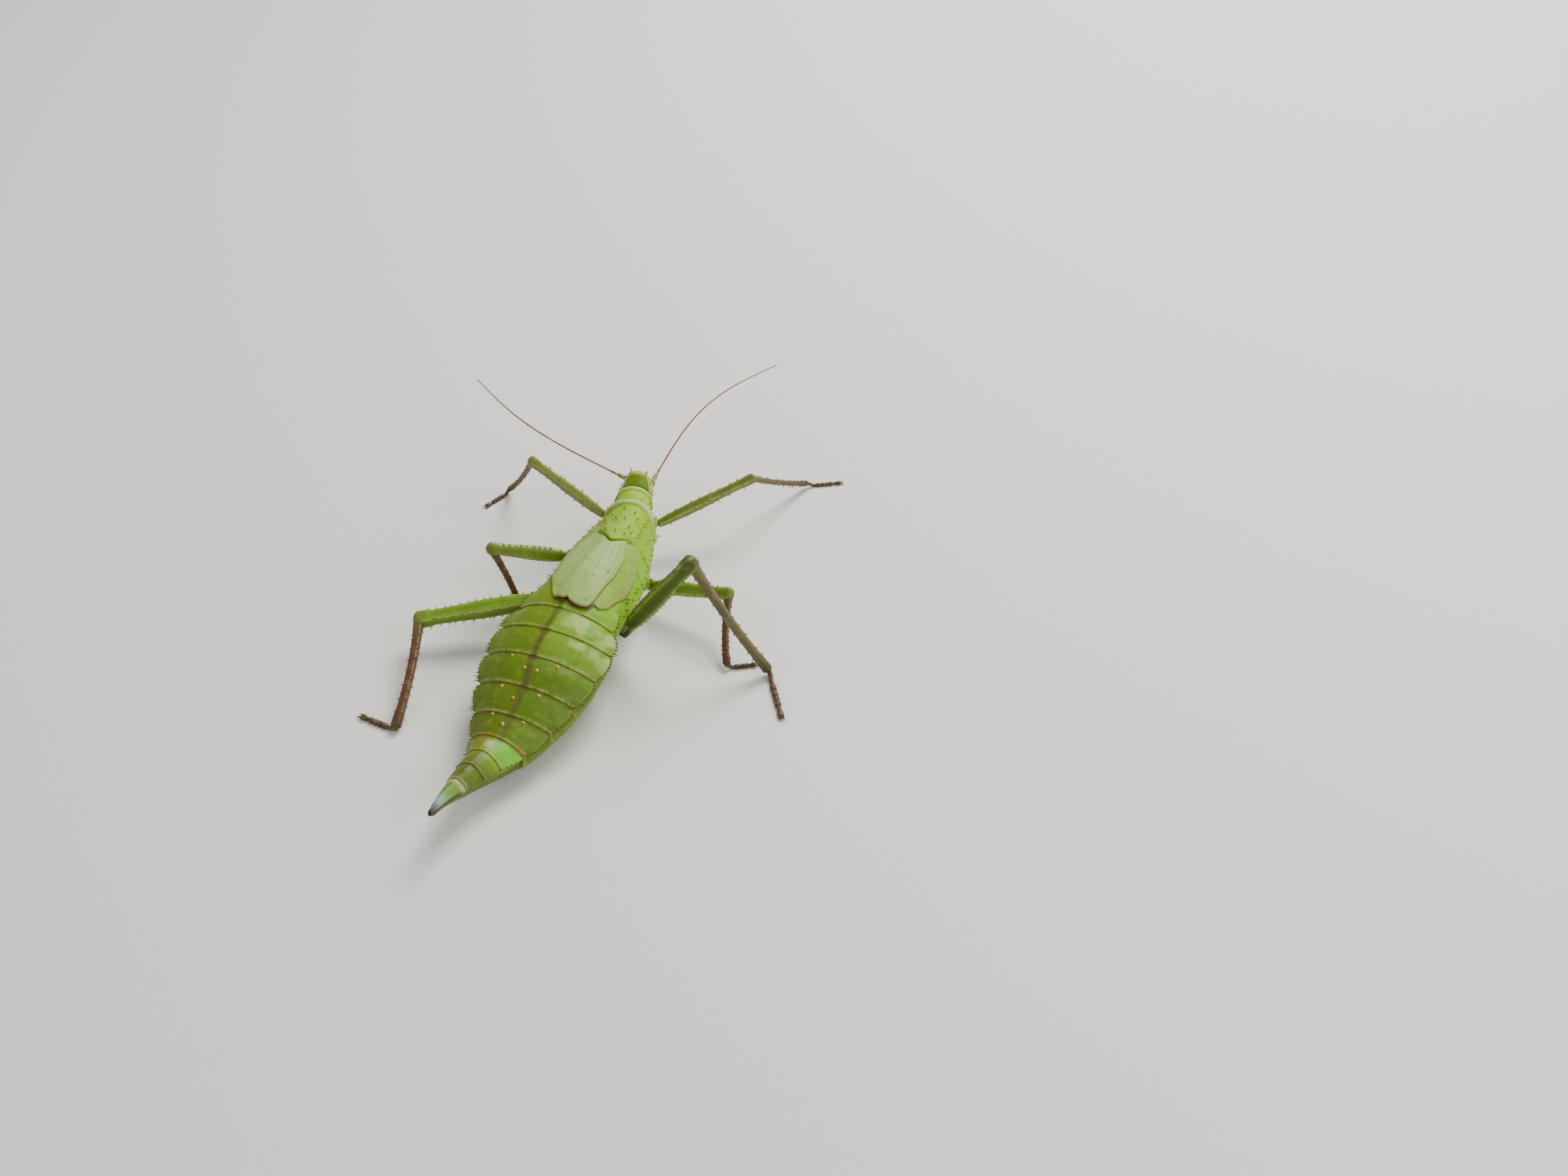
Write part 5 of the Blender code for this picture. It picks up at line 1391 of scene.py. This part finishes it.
def claws_shape(tip, along):
    """Two claws at the tip of the foot, which spread to the sides and hook down, above the floor."""
    across = np.cross(along, UP)
    claws = spine_shape([tip - 0.4 * along + sign * 0.3 * across for sign in (1, -1)],
                        [along + sign * 0.6 * across + 0.15 * UP for sign in (1, -1)], 2.3, 0.62,
                        [-0.35 * sign * across - 0.22 * UP for sign in (1, -1)], sides=10)
    claws["points"][:, 2] = np.maximum(claws["points"][:, 2], 0.02)
    return claws


print("the right front hip is at", hip_place("front_right")[1].round(1), "mm")

# %% Build the legs
for name, places in LEG_PLACES.items():
    pair = name.split("_")[0]
    knee, ankle, toe = (np.array(place) + SHIFT for place in places)
    inner, hip = hip_place(name)
    side_axis = unit(np.cross(knee - hip, ankle - knee))
    # The second tone is the painted shade that darkens this leg's femur, and its coxa on a hind leg.
    green, dark, grey = LEG_TONES[name]

    swell = COXA_WIDTHS * COXA_RADIUS[pair]
    coxa = Limb(inner, hip, COXA_MARKS, swell, swell, side_axis, power=2.2, teeth=5, tooth=0.3)
    add_piece(f"coxa_skin_{name}", coxa.shape(60, 40, shade=dark if pair == "hind" else 0), COXA,
              "pale_skin", f"coxa_{name}")

    radius = FEMUR_RADIUS[pair]
    end = 0.6 * radius / np.linalg.norm(knee - hip)
    root = -TROCHANTER[pair] / np.linalg.norm(knee - hip)
    marks = (root, *FEMUR_MARKS, 1 + 0.7 * end, 1 + 1.3 * end)
    femur = Limb(hip, knee, marks, FEMUR_WIDTHS * radius, FEMUR_DEPTHS * radius, side_axis, power=3.2,
                 teeth=SPINE_COUNT[pair])
    add_piece(f"femur_skin_{name}", femur.shape(200, 56, green, dark), FEMUR, "femur", f"femur_{name}")

    wide = TIBIA_WIDTHS * TIBIA_RADIUS[pair]
    bow = unit(np.cross(side_axis, ankle - knee)) * 0.9
    tibia = Limb(knee, ankle, TIBIA_MARKS, wide, TIBIA_DEEPER * wide, side_axis, power=3.0, teeth=9,
                 tooth=0.16, sag=bow)
    add_piece(f"tibia_skin_{name}", tibia.shape(180, 48, grey), SHIN, "shin", f"tibia_{name}")

    tip, foot = foot_shape(ankle, toe, TARSUS_RADIUS[pair])
    add_piece(f"foot_skin_{name}", foot, FOOT, "foot", f"tarsus_{name}")
    spines = [coxa.spines(length=1.2, width=0.42), femur.spines(SPINE_LENGTH[pair], width=0.34),
              tibia.spines(0.85 * SPINE_LENGTH[pair], width=0.32)]
    add_piece(f"leg_spines_{name}", join_shapes(spines), SPINE, "femur")
    add_piece(f"claws_{name}", claws_shape(tip, unit(toe - ankle)), SPINE, "foot")
    print(f"{name}: femur {femur.length:.1f} mm, tibia {tibia.length:.1f} mm")

# %% [markdown]
# ## Fore wings
# The female's wings are short leathery lobes that she can't fly with. They lie over the back, the left
# one on top, and fan out from beside the raised V. Long veins run through them like the ribs of a fan,
# and the brownish tip of a folded hind wing shows behind them, its brown partly painted shade.

# %% Fore wings
WINGS = {
    1: {"inner": (-4.4, -6.6, -7.9, -8.0), "outer": (11.4, 13.2, 11.8, 6.4),
        "rear": ((-8.0, 74.4), (-7.2, 77.1), (-4.4, 77.9), (-1.4, 77.0), (-0.4, 76.3), (1.0, 76.9),
                 (3.5, 76.9), (5.3, 75.3), (6.4, 73.5))},
    -1: {"inner": (-0.4, 1.2, 1.4, 1.2), "outer": (-7.6, -11.0, -12.4, -11.6),
         "rear": ((-11.6, 73.4), (-10.8, 74.7), (-9.4, 75.5), (-8.2, 75.2), (-6.0, 76.6), (-3.0, 76.8),
                  (1.2, 75.0))},
}
VEINS = np.linspace(-0.9, 0.9, 15)          # shares of the half width, from the middle of the wing
WING_LIFT, WING_THICK, WING_RIM, VEIN_HEIGHT, VEIN_HALF = 0.5, 0.5, 0.012, 0.1, 0.2
LEFT_OVER_RIGHT = 1.0                       # how far the left wing lies over the right one
SPECKS = ((56.5, 6.5), (60.5, 2.8), (66.5, -3.4), (72.5, 4.2), (75.5, -5.8), (63.0, -6.0))


def wing_shape(sign):
    """Sheet over the back: its stations are shares of the way from the V's edge to the lobed rear edge,
    and its height is the back's, plus the sheet's thickness, plus a bell curve over each vein.
    """
    shape = WINGS[sign]
    across = np.linspace(-1, 1, 181)[None, :]
    along = np.concatenate([[0, 0.004], np.linspace(0.012, 0.988, 116), [0.996, 1]])[:, None]
    inner, outer = (smooth_through(along, (0, 0.3, 0.65, 1), shape[edge]) for edge in ("inner", "outer"))
    lateral = inner + (outer - inner) * (across + 1) / 2
    front = shield_edge(lateral) + 0.45
    rear = smooth_through(lateral[-1], *np.transpose(shape["rear"]))[None, :]
    station = front + (rear - front) * along
    lift = LEFT_OVER_RIGHT * (1 - ease(lateral, 1.8, 5)) if sign > 0 else 0
    under = roof(station, lateral) + WING_LIFT + lift
    edge = np.minimum(np.minimum(1 - np.abs(across), along), 1 - along)
    thick = WING_THICK * np.sqrt(np.clip(edge / WING_RIM, 0.05, 1))
    fine = np.sin(np.pi * (across * 22 + 1.4 * np.sin(9 * along + 5 * across)))
    to_vein = np.abs(across[..., None] - VEINS).min(-1) * np.abs(outer - inner) / 2
    vein = np.exp(-(to_vein / VEIN_HALF) ** 2)
    ridges = VEIN_HEIGHT * vein * (1 - 0.6 * along) + 0.012 * fine
    over = under + thick + ridges * np.clip(edge / 0.03, 0, 1)
    speck = sum(np.exp(-((station - s) ** 2 + (lateral - x) ** 2) / 0.09) for s, x in SPECKS)
    return slab_shape(on_body(station, lateral, over), on_body(station, lateral, under), across=across,
                      along=along, vein=vein, upper=float(sign > 0), rim=edge, speck=np.clip(speck, 0, 1))


for name, sign in SIDES.items():
    add_piece(f"wing_skin_{name}", wing_shape(sign), WING, "wing", f"tegmen_{name}")


# %% [markdown]
# The hind wings are folded away under the fore wings, and only their brown rear edge shows, its brown
# partly painted shade under the fore wings. One pleated sheet is enough, as the rest is never seen.

# %% Tips of the hind wings
HIND_WING_FRONT = 70.0
# Lateral distance and station along the rear edge
HIND_WING_REAR = ((-8.5, 75.0), (-7, 77.6), (-3, 78.3), (0, 76.9), (3, 77.3), (5.6, 75.0))


def hind_wing_shape():
    """A thin pleated sheet on the back that ends 0.4 mm behind the fore wings."""
    lateral = np.linspace(HIND_WING_REAR[0][0], HIND_WING_REAR[-1][0], 90)[None, :]
    along = np.linspace(0, 1, 24)[:, None]
    rear = smooth_through(lateral, *np.transpose(HIND_WING_REAR))
    station = HIND_WING_FRONT + (rear - HIND_WING_FRONT) * along
    height = roof(station, lateral) + 0.25 + relief(station)
    pleat = 0.06 * np.sin(lateral * 5)
    return slab_shape(on_body(station, lateral, height + 0.12 + pleat), on_body(station, lateral, height))


add_piece("hind_wing_tips", hind_wing_shape(), HIND_WING, "wing")

# %% [markdown]
# ## Spines
# Spines cover every edge of this insect. They are modelled as curved cones, all spines of one region
# in one piece, with seeded differences in length and lean. Scattering them with a particle system
# would be quicker, but the real ones stand in rows and at fixed places.

# %% Spines of the side margins
def margin_spines():
    """Spines on the side margins of the abdomen. They are longest at each plate's rear corner."""
    shapes = []
    for sign in (1, -1):
        stations = MARGIN_SPINES[sign]
        count = len(stations)
        place, _ = skin_normal(stations, np.full(count, MARGIN_AT), np.full(count, sign))
        back, left, up = directions(stations)
        start, end = plate_span(stations)
        corner = ease((stations - start) / (end - start), 0.55, 0.9)
        size = (0.5 + 0.5 * corner) * DRAW.uniform(0.6, 1.3, count)
        size = size * (1 - 0.5 * ease(stations, 118, 132))
        out = sign * left + 0.4 * back + DRAW.uniform(-0.1, 0.4, count)[:, None] * up
        shapes.append(spine_shape(place - 0.1 * out, out, size * 1.4, 0.26 + 0.12 * size, 0.12 * back))
    return shapes


add_piece("margin_spines", join_shapes(margin_spines()), SPINE, "green_skin")


# %% [markdown]
# The back of the thorax carries long spines on its rims, on the shield and in a row down either side
# of it, and each flank has rows of its own. On the abdomen they are short blunt dots, orange on olive,
# in fours and threes.

# %% Spines of the thorax and the dots of the abdomen
def back_spines(places, length, width, tint, lean=0.3, sides=6):
    """Spines on the back at given stations and lateral distances, which lean to the rear."""
    station, lateral = np.transpose(np.array(places, float))
    place, normal = skin_normal(station, around_of(station, lateral), np.where(lateral < 0, -1.0, 1.0))
    back = directions(station)[0]
    size = length * DRAW.uniform(0.8, 1.2, len(station))
    return spine_shape(place - 0.08 * normal, normal + lean * back, size, width, 0.2 * back, tint, sides)


def flank_spines(start, end, count, around, length, width, tint):
    """A row of spines along each flank, at this share of the way round the section."""
    shapes = []
    for sign in (1, -1):
        station = start + (end - start) * (np.arange(count) + DRAW.uniform(0.2, 0.8, count)) / count
        level = around + DRAW.uniform(-0.015, 0.015, count)
        place, normal = skin_normal(station, level, np.full(count, sign))
        back, left, _ = directions(station)
        size = length * DRAW.uniform(0.7, 1.3, count)
        out = normal + 0.35 * back + 0.2 * sign * left
        shapes.append(spine_shape(place - 0.1 * normal, out, size, width, 0.15 * back, tint))
    return shapes


def mirrored(*places):
    """Each place on both sides of the middle line, but once where it lies on the line."""
    return [(s, x * sign) for s, x in places for sign in ((1, -1) if x else (1,))]


# Each place is a station and a lateral distance
ON_RIMS = mirrored((24.6, 1.9), (25.6, 5.2), (17.3, 4.3), (22.4, 4.9))
ON_SHIELD = ((36.9, 0.3), (34.5, -3.2), (40.2, -2.2), (35.8, 4.4), (38.1, 2.6), (42.1, 4.6),
             (46.3, 0.5), (44.0, -3.9), (31.8, 2.0), (32.2, -1.6), (46.8, -2.6), (47.2, 3.1))
SHIELD_ROWS = mirrored((31.4, 5.5), (33.2, 5.55), (35.4, 5.5), (38.0, 5.5), (40.4, 5.5), (42.7, 5.6))
TUBERCLES = mirrored((98.2, 7.2), (108.2, 5.9), (117, 4.9))
TUBERCLES += [(101.4, 1.4), (101.4, -2.4), (111.1, 0.8), (119.8, 0.3)]
# Start, end, count on each side, share of the way round, length, width and tint
FLANK_ROWS = ((29.5, 62, 12, 0.61, 1.6, 0.4, 0.35), (30, 46, 5, 0.55, 1.1, 0.34, 0.35),
              (17.5, 27, 4, 0.6, 1.0, 0.36, 0.35), (62, 71, 4, 0.57, 1.7, 0.45, 0.1))
thorax = [back_spines(ON_RIMS, 1.5, 0.38, tint=0.4), back_spines(ON_SHIELD, 2.2, 0.36, tint=0.15),
          back_spines(SHIELD_ROWS, 2.3, 0.42, tint=0.75)]
for row in FLANK_ROWS:
    thorax += flank_spines(*row)
add_piece("thorax_spines", join_shapes(thorax), SPINE, "green_skin")
dots = back_spines(TUBERCLES, 0.7, 0.85, tint=1.0, lean=0.1, sides=16)
add_piece("tubercles", dots, SPINE, "green_skin")


# %% [markdown]
# The head's spines stand in pairs at fixed places, the largest on the corners of the crest. Seeded rows
# would serve, but they are few and each has its own lean, so a table lists those on the left, and the
# right side is the mirror image.

# %% Spines of the head
# Place, direction, length, width and tint of the spines on the left. The first is on the crest's corner.
HEAD_SPINES = (
    ((13.0, 2.3, 5.6), (0.5, 0.25, 1.0), 2.3, 0.7, 1.0),
    ((10.2, 3.4, 3.2), (0.8, -0.1, 0.8), 0.8, 0.42, 0.9),
    ((12.9, 4.1, 2.4), (1.0, 0.2, 0.5), 1.4, 0.5, 0.9),
    ((14.6, 5.2, -0.6), (1.0, 0.3, 0.0), 1.1, 0.45, 0.7),
    ((9.0, 5.2, -1.0), (1.0, 0.1, 0.1), 1.0, 0.45, 0.6),
    ((12.6, 0.9, 5.8), (0.2, 0.3, 1.0), 0.5, 0.36, 0.9),
)


def head_spines():
    """The spines of the table, with their mirror images on the right."""
    shapes = []
    for place, grow, length, width, tint in HEAD_SPINES:
        for sign in (1, -1):
            out = np.array((sign * grow[0], grow[1], grow[2])) @ LEFT_BACK_UP
            root = on_body(place[0], sign * place[1], place[2]) - 0.2 * unit(out)
            shapes.append(spine_shape(root, out, length, width, 0.1 * LEFT_BACK_UP[1], tint, 12))
    return join_shapes(shapes)


add_piece("head_spines", head_spines(), SPINE, "green_skin")

# %% [markdown]
# ## Floor
# The insect stands on a plain pale floor, which lets its outline read from every side. One square is
# enough, as the camera looks down on it.

# %% Floor
FLOOR_HALF, FLOOR_COLOUR = 1.2, (236, 234, 228)
mesh = bpy.data.meshes.new("floor")
corners = np.array(((-1, -1, 0), (1, -1, 0), (1, 1, 0), (-1, 1, 0))) * FLOOR_HALF
mesh.from_pydata(corners.tolist(), [], [(0, 1, 2, 3)])
floor = bpy.data.objects.new("floor", mesh)
floor_material = bpy.data.materials.new("floor")
floor_material.use_nodes = True
shader = floor_material.node_tree.nodes["Principled BSDF"]
shader.inputs["Base Color"].default_value = linear(*FLOOR_COLOUR)
shader.inputs["Roughness"].default_value = 0.7
mesh.materials.append(floor_material)
bpy.context.scene.collection.objects.link(floor)
print("the floor is", 2 * FLOOR_HALF, "m wide")

# %% [markdown]
# The last cell notes the size of the finished model.

# %% Record the size
print("pieces:", len(TRIANGLES), "triangles:", sum(TRIANGLES.values()))
